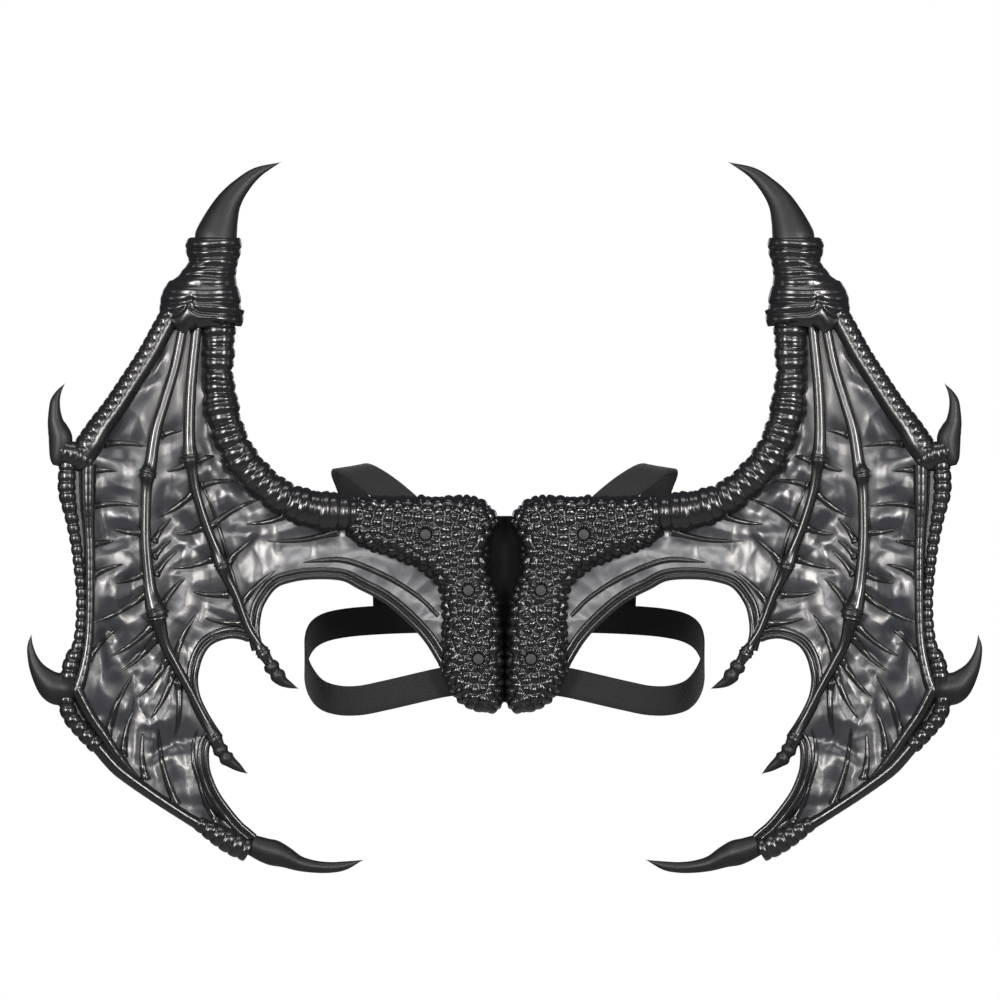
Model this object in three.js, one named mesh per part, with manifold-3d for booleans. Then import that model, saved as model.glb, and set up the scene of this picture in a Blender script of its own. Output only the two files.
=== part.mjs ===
// Dragon wings, worn on the back: two moulded foam wings riveted to a back plate on a webbing harness.
// Millimetres, +Z up, +Y towards the wearer, and the wearer's left side at -X.
// The origin is the centre of the back plate's face that lies against the wearer.
// Each wing is laid out on its own sheet, a surface that sweeps backwards as it goes outwards.
// Tables give places as shares: across is a share of halfSpan from the centre line, and up is a
// share of wingHeight from the lowest point of the tip claw.

import * as THREE from 'three';
import { mergeVertices } from 'three/addons/utils/BufferGeometryUtils.js';
import Module from 'manifold-3d';

const wasm = await Module();
wasm.setup();

// Driving dimensions of a wing
const halfSpan = 381; // centre line to the outermost point of the lower spur
const wingHeight = 571; // belly of the tip claw to the point of the thumb claw
const seatHeight = 216; // belly of the tip claw to the centre of the back plate
const sweepBack = 58; // how far the outer edge lies behind the wing root
const sweepStart = 0.28; // share of halfSpan where the sweep begins
const sweepPower = 1.3; // how late the sweep grows
const standOff = 16; // wearer's side of the plate to the middle of the membrane at the root

// Membrane
const membraneWall = 8; // thickness of the moulding at its bones and rims
const billow = 4.8; // how far its face is hollowed between them
const billowReach = 28; // distance from a bone or rim at which the hollow is full
const foldHeight = 4.4; // height of the main folds
const foldWidth = 13; // half width of a main fold
const sheetStep = 25; // grid step of the skin's face
const veinWidth = 4.4; // a raised vein at its root
const veinHeight = 2.6; // how far a vein's root stands out of the skin
const longVein = 36; // a vein longer than this bends with the skin at its middle
const rimWidth = 6.4; // the raised bead along a scallop
const rimHeight = 3.4; // how far that bead stands out of the skin
const rimFoot = 1.5; // width of a bead's buried foot, as a share of rimWidth
const rimSteps = 0.6; // sections of a bead for each row of its table
const ridgeLow = 0.8; // height of a tapered inner ridge, as a share of rimHeight

// Bones and claws: the width that each table's shares belong to
const armWidth = 26.5;
const wristWidth = 68;
const wristDepth = 37;
const thumbClawWidth = 33.5;
const fingerWidth = 19;
const upperSpurWidth = 17;
const edgeStripWidth = 13;
const edgeStripDepth = 11;
const edgeBoneWidth = 13.6;
const lowerSpurWidth = 19;
const lowerBoneWidth = 11.4;
const cornerBoneWidth = 9.6;
const tipClawWidth = 20.8;
const middleFingerWidth = 8.8;
const innerFingerWidth = 8.8;
const smallClawWidth = 11.2;

// Pads, plate and rivets
const padRise = 25; // flat back of a pad to the top of its crown
const padEdge = 9; // thickness of a pad at its rim
const padRound = 17; // distance from the rim to the crown
const scalePitch = 14; // one pebble to the next
const scaleRelief = 1.9; // a pebble's height over its joints
const plateThickness = 3;
const rivetHeadRadius = 4.3;
const rivetHeadHeight = 2.4;
const rivetShankRadius = 2;
const rivetSides = 8;
const headDrop = 0.4; // top of a rivet's head below the pebbles' points
const padSides = 40; // corners of the pad's outline

// Harness
const webbing = 24; // width of the shoulder straps and of the chest band
const webbingThickness = 1.6;
const bandSteps = 40; // sections of the chest band
const strapSteps = 3; // sections of a shoulder strap between two rows of its table
const torsoHalfWidth = 163; // centre line to the chest band at the wearer's side
const torsoDepth = 222; // chest band from back to front
const rivetToBand = 2.4; // lowest rivet's shank to the top edge of the chest band, on the plate
const bandTravel = 50; // the length that the band's ups and downs are shares of
const shoulderOut = 128; // centre line to the strap on top of the shoulder
const strapRise = 110; // the length that a shoulder strap's heights are shares of
const strapStart = 0.785; // share of strapRise at which it comes out over the top of the pads

const gap = 0.3; // clearance between neighbouring pieces
const overlap = 1; // how far a cutter runs past the face that it cuts
const bite = 0.4; // share of a ray's half depth that sits above the skin, at its centre

// Colours
const colours = {
  bone: { color: 0x1d1d1f, roughness: 0.34, metalness: 0 },
  claw: { color: 0x202022, roughness: 0.38, metalness: 0 },
  pad: { color: 0x1b1b1c, roughness: 0.36, metalness: 0 },
  skin: { color: 0x2e3036, roughness: 0.3, metalness: 0 },
  plate: { color: 0x141415, roughness: 0.8, metalness: 0 },
  webbing: { color: 0x252526, roughness: 0.85, metalness: 0 },
  rivet: { color: 0x505055, roughness: 0.45, metalness: 0 },
};

// Tables of the bones: across, up, and width as a share of the bone's own width
const upperArm = [
  [0.601, 0.782, 1.0],
  [0.601, 0.735, 0.94],
  [0.602, 0.7, 0.88],
  [0.597, 0.665, 1.03],
  [0.589, 0.637, 1.0],
  [0.572, 0.605, 1.0],
  [0.547, 0.576, 1.03],
  [0.513, 0.552, 1.0],
  [0.473, 0.531, 1.0],
  [0.429, 0.517, 1.09],
  [0.383, 0.51, 1.15],
  [0.335, 0.508, 1.21],
  [0.29, 0.508, 1.24],
];
// The wrist's fourth column is its depth, as a share of wristDepth
const wrist = [
  [0.613, 0.892, 0.62, 0.82],
  [0.611, 0.878, 0.66, 0.88],
  [0.612, 0.866, 0.6, 0.8],
  [0.613, 0.853, 0.55, 0.76],
  [0.625, 0.836, 0.68, 0.86],
  [0.6275, 0.819, 0.83, 0.94],
  [0.635, 0.804, 0.96, 1.0],
  [0.637, 0.79, 0.99, 1.0],
  [0.641, 0.777, 0.9, 0.92],
  [0.641, 0.767, 0.6, 0.68],
];
const thumbClaw = [
  [0.6095, 0.886, 0.98],
  [0.6055, 0.897, 1.0],
  [0.594, 0.9216, 0.8],
  [0.579, 0.944, 0.6],
  [0.555, 0.965, 0.43],
  [0.521, 0.985, 0.26],
  [0.471, 1.0, 0],
];
const outerFingerUpper = [
  [0.69, 0.79, 0.9],
  [0.708, 0.776, 0.92],
  [0.747, 0.728, 0.94],
  [0.784, 0.689, 0.96],
  [0.82, 0.652, 1.0],
  [0.847, 0.6275, 1.05],
  [0.867, 0.605, 1.17],
  [0.886, 0.586, 1.1],
];
const upperSpur = [
  [0.869, 0.572, 0.5],
  [0.89, 0.577, 1.1],
  [0.912, 0.585, 1.35],
  [0.927, 0.6, 1.25],
  [0.934, 0.623, 1.0],
  [0.941, 0.65, 0.57],
  [0.94, 0.664, 0.45],
  [0.932, 0.6765, 0.24],
  [0.92, 0.688, 0],
];
const edgeStrip = [
  [0.914, 0.58, 1.0],
  [0.916, 0.539, 1.03],
  [0.906, 0.5, 0.75],
  [0.895, 0.455, 0.62],
  [0.887, 0.399, 0.55],
  [0.887, 0.357, 0.57],
  [0.893, 0.322, 0.68],
  [0.906, 0.301, 0.92],
  [0.914, 0.27, 1.0],
];
const edgeBone = [
  [0.872, 0.575, 1.0],
  [0.872, 0.525, 0.88],
  [0.87, 0.483, 0.66],
  [0.868, 0.441, 0.62],
  [0.869, 0.356, 0.56],
  [0.874, 0.315, 0.62],
  [0.885, 0.28, 0.74],
  [0.897, 0.256, 0.8],
];
const lowerSpur = [
  [0.898, 0.262, 0.5],
  [0.92, 0.2595, 0.9],
  [0.942, 0.262, 1.2],
  [0.962, 0.272, 1.0],
  [0.978, 0.286, 0.67],
  [0.988, 0.304, 0.42],
  [0.9915, 0.319, 0.25],
  [0.9895, 0.338, 0],
];
const cornerFinger = [
  [0.921, 0.265, 1.07],
  [0.918, 0.245, 1.0],
  [0.908, 0.223, 1.0],
  [0.8825, 0.202, 1.0],
  [0.853, 0.181, 1.0],
];
const lowerBone = [
  [0.853, 0.181, 0.9],
  [0.824, 0.158, 0.93],
  [0.8, 0.143, 0.93],
  [0.74, 0.1134, 0.86],
  [0.677, 0.085, 0.8],
  [0.643, 0.071, 0.86],
];
const lowerKnuckle = [
  [0.645, 0.073, 0.9],
  [0.603, 0.056, 1.43],
  [0.57, 0.0435, 1.64],
  [0.541, 0.034, 1.57],
];
const cornerBone = [
  [0.897, 0.262, 1.08],
  [0.87, 0.227, 1.0],
  [0.84, 0.197, 0.95],
  [0.822, 0.18, 0.9],
];
const tipClaw = [
  [0.535, 0.042, 0.8],
  [0.505, 0.0336, 0.95],
  [0.485, 0.0294, 1.0],
  [0.463, 0.0238, 0.84],
  [0.4335, 0.0147, 0.6],
  [0.4, 0.0098, 0.48],
  [0.366, 0.0086, 0.42],
  [0.335, 0.0112, 0.33],
  [0.298, 0.019, 0],
];
const middleFinger = [
  [0.673, 0.775, 0.9],
  [0.6916, 0.713, 0.95],
  [0.7126, 0.665, 1.0],
  [0.7314, 0.623, 1.09],
  [0.742, 0.578, 1.2],
  [0.748, 0.562, 1.5],
  [0.75, 0.545, 1.09],
  [0.752, 0.52, 1.0],
  [0.752, 0.464, 1.0],
  [0.744, 0.406, 1.18],
  [0.7356, 0.38, 1.7],
  [0.729, 0.367, 2.0],
  [0.725, 0.354, 1.4],
  [0.7126, 0.3235, 1.0],
  [0.6926, 0.297, 0.91],
  [0.662, 0.259, 0.82],
  [0.631, 0.2185, 0.82],
  [0.609, 0.192, 1.27],
  [0.599, 0.176, 1.1],
];
const middleClaw = [
  [0.601, 0.18, 0.85],
  [0.589, 0.167, 1.0],
  [0.578, 0.16, 0.86],
  [0.559, 0.15, 0.55],
  [0.5405, 0.1415, 0],
];
const innerFinger = [
  [0.6455, 0.775, 0.95],
  [0.658, 0.692, 1.05],
  [0.662, 0.637, 1.09],
  [0.662, 0.6065, 1.18],
  [0.66, 0.5855, 1.45],
  [0.656, 0.567, 1.09],
  [0.6475, 0.535, 0.91],
  [0.6265, 0.489, 0.91],
  [0.6055, 0.454, 1.0],
  [0.594, 0.434, 1.3],
  [0.5846, 0.417, 0.95],
  [0.566, 0.392, 0.82],
  [0.5405, 0.347, 0.75],
  [0.5195, 0.3235, 0.85],
  [0.509, 0.312, 1.2],
  [0.5, 0.3025, 1.0],
  [0.492, 0.294, 0.9],
];
const innerClaw = [
  [0.495, 0.2965, 0.95],
  [0.48, 0.2815, 1.07],
  [0.465, 0.27, 0.72],
  [0.45, 0.265, 0.43],
  [0.434, 0.2605, 0],
];

// Outlines: across, up
const lowerScallop = [
  [0.53, 0.06],
  [0.553, 0.0714],
  [0.576, 0.091],
  [0.601, 0.115],
  [0.617, 0.14],
  [0.622, 0.158],
  [0.621, 0.179],
  [0.61, 0.193],
];
const middleScallop = [
  [0.594, 0.195],
  [0.612, 0.213],
  [0.6286, 0.2325],
  [0.641, 0.252],
  [0.6454, 0.273],
  [0.641, 0.2927],
  [0.632, 0.3095],
  [0.618, 0.322],
  [0.598, 0.329],
  [0.576, 0.332],
  [0.555, 0.3305],
  [0.5405, 0.327],
];
const innerScallop = [
  [0.509, 0.317],
  [0.5165, 0.34],
  [0.5135, 0.364],
  [0.505, 0.381],
  [0.484, 0.4006],
  [0.459, 0.409],
  [0.41, 0.4146],
  [0.3454, 0.413],
  [0.3076, 0.401],
  [0.255, 0.3824],
  [0.207, 0.3557],
  [0.167, 0.3263],
  [0.1324, 0.2885],
];
// The skin's edge behind the pad, and its corner behind the wrist
const hiddenEdge = [
  [0.0894, 0.29],
  [0.0894, 0.4],
  [0.1565, 0.462],
  [0.303, 0.487],
];
const wristFoot = [0.641, 0.79];
const padOutline = [
  [0.335, 0.511],
  [0.3076, 0.529],
  [0.2195, 0.5294],
  [0.1355, 0.5294],
  [0.0705, 0.529],
  [0.0453, 0.5224],
  [0.0264, 0.5112],
  [0.014, 0.494],
  [0.022, 0.485],
  [0.0306, 0.465],
  [0.0327, 0.438],
  [0.0264, 0.412],
  [0.0118, 0.385],
  [0.0076, 0.353],
  [0.005, 0.3],
  [0.0045, 0.25],
  [0.012, 0.232],
  [0.0453, 0.2269],
  [0.0862, 0.238],
  [0.1146, 0.259],
  [0.1313, 0.283],
  [0.1345, 0.312],
  [0.1324, 0.34],
  [0.1324, 0.367],
  [0.1385, 0.4],
  [0.163, 0.42],
  [0.194, 0.433],
  [0.247, 0.447],
  [0.3076, 0.461],
  [0.335, 0.479],
];
const plateOutline = [
  [0, 0.503],
  [0.17, 0.503],
  [0.215, 0.49],
  [0.215, 0.465],
  [0.155, 0.44],
  [0.118, 0.405],
  [0.112, 0.34],
  [0.112, 0.28],
  [0.085, 0.25],
  [0.03, 0.24],
  [0, 0.24],
];
// Rivets: across, up
const rivets = [
  [0.1666, 0.477],
  [0.0762, 0.3985],
  [0.0554, 0.302],
];

// Raised ridges inside the scallops: across, up, and width as a share of rimWidth
const innerRidge = [
  [0.43, 0.437, 0.1],
  [0.385, 0.4405, 0.8],
  [0.339, 0.4405, 1.0],
  [0.29, 0.43, 1.0],
  [0.23, 0.4105, 0.9],
  [0.177, 0.3865, 0.8],
  [0.14, 0.362, 0.7],
];
const lowerRidge = [
  [0.643, 0.2085, 0.1],
  [0.6535, 0.185, 0.7],
  [0.6535, 0.158, 0.8],
  [0.643, 0.132, 0.8],
  [0.6286, 0.101, 0.7],
  [0.605, 0.076, 0.2],
];

// Long veins and struts: the root's across and up, then the point's
const veins = [
  [0.836, 0.604, 0.752, 0.6],
  [0.864, 0.517, 0.767, 0.517],
  [0.755, 0.393, 0.862, 0.354],
  [0.637, 0.546, 0.57, 0.552],
  [0.616, 0.49, 0.515, 0.527],
  [0.862, 0.42, 0.8, 0.4355],
  [0.87, 0.304, 0.8175, 0.343],
  [0.744, 0.347, 0.825, 0.307],
  [0.7335, 0.3305, 0.805, 0.285],
  [0.71, 0.3, 0.771, 0.248],
  [0.696, 0.283, 0.742, 0.22],
  [0.685, 0.2675, 0.6915, 0.196],
  [0.719, 0.377, 0.6725, 0.416],
  [0.6925, 0.304, 0.6475, 0.365],
  [0.658, 0.533, 0.729, 0.5015],
  [0.618, 0.4425, 0.6945, 0.43],
  [0.5835, 0.393, 0.653, 0.3965],
  [0.557, 0.353, 0.6285, 0.36],
  [0.58, 0.4385, 0.528, 0.4705],
  [0.555, 0.378, 0.483, 0.426],
  [0.4587, 0.5042, 0.5426, 0.4916],
  [0.358, 0.4804, 0.4985, 0.468],
  [0.832, 0.196, 0.78, 0.28],
  [0.8, 0.168, 0.7775, 0.233],
  [0.7535, 0.137, 0.7587, 0.199],
  [0.6915, 0.102, 0.727, 0.206],
  [0.6055, 0.074, 0.641, 0.1275],
];

// Main folds of the skin: one end's across and up, the other's, and height as a share of foldHeight
const folds = [
  [0.744, 0.665, 0.7965, 0.567, 1.0],
  [0.811, 0.497, 0.832, 0.371, 1.0],
  [0.702, 0.623, 0.698, 0.441, 0.7],
  [0.66, 0.441, 0.675, 0.329, 0.8],
  [0.6075, 0.623, 0.593, 0.511, 0.7],
  [0.545, 0.469, 0.572, 0.399, 0.9],
  [0.429, 0.462, 0.26, 0.425, 0.6],
  [0.849, 0.273, 0.744, 0.189, 0.9],
  [0.744, 0.245, 0.6706, 0.119, 0.8],
];

// The chest band's half loop in plan: across as a share of torsoHalfWidth, back to front as a share
// of torsoDepth, and rise as a share of bandTravel
const bandLoop = [
  [0, 0, 0],
  [0.15, 0, 0],
  [0.29, 0, -0.05],
  [0.38, 0.005, -0.11],
  [0.47, 0.018, -0.18],
  [0.6, 0.045, -0.28],
  [0.72, 0.085, -0.36],
  [0.83, 0.145, -0.36],
  [0.92, 0.225, -0.26],
  [0.98, 0.33, 0],
  [1, 0.45, 0.32],
  [0.98, 0.58, 0.6],
  [0.92, 0.7, 0.76],
  [0.81, 0.81, 0.84],
  [0.65, 0.9, 0.88],
  [0.45, 0.965, 0.9],
  [0.22, 0.995, 0.9],
  [0, 1, 0.9],
];
// A shoulder strap: across as a share of shoulderOut, back to front as a share of torsoDepth, up as a
// share of strapRise, and how far it has turned, in degrees, from facing backwards to facing forwards
const strapLoop = [
  [0.575, 0, 0.665, 0],
  [0.62, 0, 0.715, 0],
  [0.69, 0.002, 0.785, 2],
  [0.8, 0.03, 0.885, 25],
  [0.9, 0.08, 0.965, 48],
  [0.97, 0.14, 1.0, 72],
  [1.0, 0.21, 1.0, 96],
  [1.01, 0.33, 0.96, 118],
  [0.98, 0.48, 0.85, 134],
  [0.93, 0.64, 0.64, 148],
  [0.86, 0.8, 0.38, 158],
];
const strapEnd = 0.395; // share of the band's loop at which a strap is sewn over it
const strapSewn = [1.6, 0.8, 0, -0.5]; // heights of its last rows over the band's middle, shares of webbing
const shoulderLean = 0.15; // how far its face leans outwards over the shoulder

// Places on the wing

function sweepAt(across) {
  const share = Math.max(0, (across - sweepStart) / (1 - sweepStart));
  return standOff + sweepBack * share ** sweepPower;
}

function place(across, up, forward = 0) {
  return new THREE.Vector3(-across * halfSpan, -sweepAt(across) - forward, up * wingHeight - seatHeight);
}

function flat(across, up) {
  return new THREE.Vector2(-across * halfSpan, up * wingHeight - seatHeight);
}

function distanceToSegment(point, from, to) {
  const along = to.clone().sub(from);
  const share = point.clone().sub(from).dot(along) / along.lengthSq();
  return point.distanceTo(from.clone().addScaledVector(along, Math.min(1, Math.max(0, share))));
}

function distanceToPath(point, path) {
  let least = Infinity;
  for (let i = 1; i < path.length; i++) {
    least = Math.min(least, distanceToSegment(point, path[i - 1], path[i]));
  }
  return least;
}

const skinHolders = [
  upperArm, outerFingerUpper, edgeBone, lowerBone, lowerKnuckle, middleFinger, innerFinger,
  lowerScallop, middleScallop, innerScallop,
].map((table) => table.map(([across, up]) => flat(across, up)));

const foldLines = folds.map(([fromAcross, fromUp, toAcross, toUp, share]) => ({
  from: flat(fromAcross, fromUp),
  to: flat(toAcross, toUp),
  height: share * foldHeight,
}));

// The skin's face stands highest at its bones and rims; between them it is hollowed and folded.
function skinFront(x, z) {
  const point = new THREE.Vector2(x, z);
  const nearest = Math.min(...skinHolders.map((path) => distanceToPath(point, path)));
  const free = THREE.MathUtils.smoothstep(nearest, 0, billowReach);
  const fold = Math.max(...foldLines.map((line) => {
    const off = distanceToSegment(point, line.from, line.to) / foldWidth;
    return line.height * Math.exp(-off * off);
  }));
  return -sweepAt(-x / halfSpan) + free * (billow - fold) - membraneWall / 2;
}

// Its back is plain and only follows the sweep.
function skinBack(x) {
  return -sweepAt(-x / halfSpan) + membraneWall / 2;
}

// Solids

function solidFrom(points, faces) {
  const vertProperties = new Float32Array(points.flatMap((point) => [point.x, point.y, point.z]));
  let volume = 0;
  for (const [a, b, c] of faces) {
    volume += points[a].dot(points[b].clone().cross(points[c]));
  }
  const outward = volume > 0 ? faces : faces.map(([a, b, c]) => [a, c, b]);
  const triVerts = new Uint32Array(outward.flat());
  return new wasm.Manifold(new wasm.Mesh({ numProp: 3, vertProperties, triVerts }));
}

function solidFromGeometry(geometry) {
  const bare = geometry.clone();
  bare.deleteAttribute('normal');
  bare.deleteAttribute('uv');
  const merged = mergeVertices(bare);
  return new wasm.Manifold(new wasm.Mesh({
    numProp: 3,
    vertProperties: new Float32Array(merged.attributes.position.array),
    triVerts: new Uint32Array(merged.index.array),
  }));
}

function geometryFrom(solid, mirrored = false) {
  const mesh = solid.getMesh();
  const position = Float32Array.from(mesh.vertProperties);
  const index = Uint32Array.from(mesh.triVerts);
  if (mirrored) {
    for (let i = 0; i < position.length; i += 3) {
      position[i] = -position[i];
    }
    index.reverse();
  }
  const geometry = new THREE.BufferGeometry();
  geometry.setAttribute('position', new THREE.BufferAttribute(position, 3));
  geometry.setIndex(new THREE.BufferAttribute(index, 1));
  geometry.computeVertexNormals();
  return geometry;
}

function unite(solids) {
  return solids.reduce((whole, solid) => whole.add(solid));
}

function cutAll(solid, cutters) {
  return cutters.reduce((rest, cutter) => rest.subtract(cutter), solid);
}

// A trimmed piece without the offcuts that its cutters leave
function mainBody(solid) {
  const bodies = solid.decompose();
  return bodies.reduce((best, body) => (body.volume() > best.volume() ? body : best));
}

// A closed skin over a row of rings of points; an end ring of one point is a tip.
function skinOver(rings, loop = false) {
  const points = [];
  const starts = [];
  for (const ring of rings) {
    starts.push(points.length);
    points.push(...ring);
  }
  const faces = [];
  const bands = loop ? rings.length : rings.length - 1;
  for (let i = 0; i < bands; i++) {
    const next = (i + 1) % rings.length;
    const sides = Math.max(rings[i].length, rings[next].length);
    for (let k = 0; k < sides; k++) {
      const here = [k, (k + 1) % sides].map((n) => starts[i] + (n % rings[i].length));
      const there = [k, (k + 1) % sides].map((n) => starts[next] + (n % rings[next].length));
      if (here[0] !== here[1]) {
        faces.push([here[0], here[1], there[0]]);
      }
      if (there[0] !== there[1]) {
        faces.push([here[1], there[1], there[0]]);
      }
    }
  }
  if (!loop) {
    const last = rings.length - 1;
    for (let k = 1; k < rings[0].length - 1; k++) {
      faces.push([starts[0], starts[0] + k + 1, starts[0] + k]);
    }
    for (let k = 1; k < rings[last].length - 1; k++) {
      faces.push([starts[last], starts[last] + k, starts[last] + k + 1]);
    }
  }
  return solidFrom(points, faces);
}

// Stations along a table: place, half width and half depth, evenly spaced or one for each row
function stationsOf(bone) {
  const { table, width, deep = 1, depth = width * deep, forward = 0, bitten = false } = bone;
  const path = new THREE.CatmullRomCurve3(table.map(([across, up]) => place(across, up)));
  const girth = new THREE.SplineCurve(table.map(([, , wide, thick = wide]) => (
    new THREE.Vector2(Math.max(0, wide * width) / 2, Math.max(0, thick * depth) / 2)
  )));
  const rows = table.length - 1;
  const steps = bone.rings ? bone.rings * 2 : rows * (bone.finer ?? 1);
  return Array.from({ length: steps + 1 }, (_, i) => {
    const along = bone.rings ? path.getUtoTmapping(i / steps) : i / steps;
    const centre = path.getPoint(along);
    const half = girth.getPoint(along);
    const tip = i === steps && table[rows][2] === 0;
    const lift = bitten ? membraneWall / 2 + bite * half.y : forward;
    centre.y -= lift;
    return { centre, wide: half.x, thick: half.y, tip, crest: i % 2 === 1 };
  });
}

// A bone, finger or claw: rings of an oval section along its table.
// grow makes the same shape larger all round, to cut its neighbours clear of it.
function bone(spec, grow = 0) {
  const { sides = 10, relief = 0 } = spec;
  const every = stationsOf(spec);
  const stations = grow > 0 && spec.rings > 8
    ? every.filter(({ crest }, i) => crest || i === 0 || i === every.length - 1)
    : every;
  const last = stations.length - 1;
  const rings = stations.map((station, i) => {
    const before = stations[Math.max(0, i - 1)].centre;
    const after = stations[Math.min(last, i + 1)].centre;
    const tangent = after.clone().sub(before).normalize();
    const side = tangent.clone().cross(new THREE.Vector3(0, -1, 0)).normalize();
    const front = side.clone().cross(tangent);
    const centre = station.centre.clone();
    if (grow > 0 && (i === 0 || i === last)) {
      centre.addScaledVector(tangent, i === 0 ? -grow : grow);
    }
    if (station.tip && grow === 0) {
      return [centre];
    }
    const bump = grow > 0 || station.crest ? 1 + relief : 1 - relief;
    const wide = Math.max(station.wide, 0.3) * bump + grow;
    const thick = Math.max(station.thick, 0.3) * bump + grow;
    return Array.from({ length: sides }, (_, k) => {
      const turn = ((k + 0.5) / sides) * Math.PI * 2;
      return centre.clone()
        .addScaledVector(side, wide * Math.cos(turn))
        .addScaledVector(front, thick * Math.sin(turn));
    });
  });
  return skinOver(rings);
}

// A block between two surfaces over the wing's whole plan
function gridSolid(front, back, rows = Math.ceil(wingHeight / sheetStep)) {
  const columns = Math.ceil(halfSpan / sheetStep);
  const xs = Array.from({ length: columns + 1 }, (_, i) => -halfSpan + (i / columns) * halfSpan);
  const zs = Array.from({ length: rows + 1 }, (_, j) => (j / rows) * wingHeight - seatHeight);
  const points = [];
  for (const surface of [front, back]) {
    for (const z of zs) {
      for (const x of xs) {
        points.push(new THREE.Vector3(x, surface(x, z), z));
      }
    }
  }
  const wide = xs.length;
  const far = xs.length * zs.length;
  const faces = [];
  for (let j = 0; j < rows; j++) {
    for (let i = 0; i < columns; i++) {
      const a = j * wide + i;
      const [b, c, d] = [a + 1, a + wide + 1, a + wide];
      faces.push([a, b, c], [a, c, d]);
      faces.push([far + a, far + c, far + b], [far + a, far + d, far + c]);
    }
  }
  const wall = (a, b) => faces.push([b, a, far + a], [b, far + a, far + b]);
  for (let i = 0; i < columns; i++) {
    wall(i, i + 1);
    wall(rows * wide + i + 1, rows * wide + i);
  }
  for (let j = 0; j < rows; j++) {
    wall((j + 1) * wide, j * wide);
    wall(j * wide + columns, (j + 1) * wide + columns);
  }
  return solidFrom(points, faces);
}

// An outline of the wing's plan as a block from nearY, on the wearer's side, outwards to farY
function prism(points, nearY, farY) {
  const geometry = new THREE.ExtrudeGeometry(new THREE.Shape(points), {
    depth: nearY - farY,
    bevelEnabled: false,
  });
  geometry.rotateX(Math.PI / 2);
  geometry.translate(0, nearY, 0);
  return solidFromGeometry(geometry);
}

function smooth(table, finer, closed = false) {
  const points = table.map(([across, up]) => place(across, up));
  const path = new THREE.CatmullRomCurve3(points, closed);
  const steps = finer ?? table.length;
  return path.getPoints(steps).slice(0, closed ? -1 : undefined)
    .map((point) => new THREE.Vector2(point.x, point.z));
}

function grown(points, distance) {
  const sign = THREE.ShapeUtils.isClockWise(points) ? -1 : 1;
  return points.map((point, i) => {
    const before = points[(i + points.length - 1) % points.length];
    const after = points[(i + 1) % points.length];
    const along = after.clone().sub(before).normalize();
    return point.clone().add(new THREE.Vector2(along.y, -along.x).multiplyScalar(sign * distance));
  });
}

function disc(radius, across, up, nearY, farY) {
  const geometry = new THREE.CylinderGeometry(radius, radius, nearY - farY, rivetSides);
  const middle = flat(across, up);
  geometry.translate(middle.x, (nearY + farY) / 2, middle.y);
  return solidFromGeometry(geometry);
}

// Layers between the wearer and the wing
const webbingBack = -plateThickness - gap;
const padBack = webbingBack - webbingThickness - gap;
const farFront = -(standOff + sweepBack + wristDepth * 2);

// Bones and claws
const bones = {
  upper_arm: { table: upperArm, width: armWidth, deep: 0.85, forward: 4, rings: 14, relief: 0.06, sides: 8 },
  wrist: { table: wrist, width: wristWidth, depth: wristDepth, forward: 3, rings: 6, relief: 0.035, sides: 9 },
  thumb_claw: { table: thumbClaw, width: thumbClawWidth, deep: 0.66, forward: 3, sides: 7 },
  outer_finger_upper: {
    table: outerFingerUpper, width: fingerWidth, deep: 0.85, forward: 2, rings: 9, relief: 0.05, sides: 7,
  },
  upper_spur_claw: { table: upperSpur, width: upperSpurWidth, deep: 0.75, forward: 2, sides: 6 },
  edge_strip: {
    table: edgeStrip, width: edgeStripWidth, depth: edgeStripDepth, forward: 1, rings: 10, relief: 0.07, sides: 5,
  },
  edge_bone: { table: edgeBone, width: edgeBoneWidth, forward: 2.5, sides: 6 },
  lower_spur_claw: { table: lowerSpur, width: lowerSpurWidth, deep: 0.75, forward: 2, sides: 6 },
  corner_finger: { table: cornerFinger, width: lowerBoneWidth, forward: 1, rings: 5, relief: 0.07, sides: 6 },
  lower_bone: { table: lowerBone, width: lowerBoneWidth, forward: 1.5, sides: 6 },
  lower_knuckle: {
    table: lowerKnuckle, width: lowerBoneWidth, deep: 0.9, forward: 1.5, rings: 3, relief: 0.07, sides: 7,
  },
  corner_bone: { table: cornerBone, width: cornerBoneWidth, forward: 3, sides: 6 },
  tip_claw: { table: tipClaw, width: tipClawWidth, deep: 0.8, forward: 1.5, sides: 6 },
  middle_finger: { table: middleFinger, width: middleFingerWidth, deep: 0.85, bitten: true, sides: 6 },
  inner_finger: { table: innerFinger, width: innerFingerWidth, deep: 0.85, bitten: true, sides: 6 },
  middle_claw: { table: middleClaw, width: smallClawWidth, deep: 0.8, forward: 7.5, sides: 6 },
  inner_claw: { table: innerClaw, width: smallClawWidth, deep: 0.8, forward: 7.5, sides: 6 },
};

// The line that clears a bone's flank in plan; side is 1 for the flank on the right of its way along
function flankOf(name, side, skipFirst, skipLast) {
  const spec = bones[name];
  const stations = stationsOf(spec);
  const line = stations.map(({ centre, wide }, i) => {
    const before = stations[Math.max(0, i - 1)].centre;
    const after = stations[Math.min(stations.length - 1, i + 1)].centre;
    const along = new THREE.Vector2(after.x - before.x, after.z - before.z).normalize();
    const off = side * (wide * (1 + (spec.relief ?? 0)) + gap);
    return new THREE.Vector2(centre.x + along.y * off, centre.z - along.x * off);
  });
  return line.slice(skipFirst, line.length - skipLast).filter((_, i) => !spec.rings || i % 2 === 0);
}

function clearOf(...names) {
  return names.map((name) => bone(bones[name], gap));
}

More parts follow.
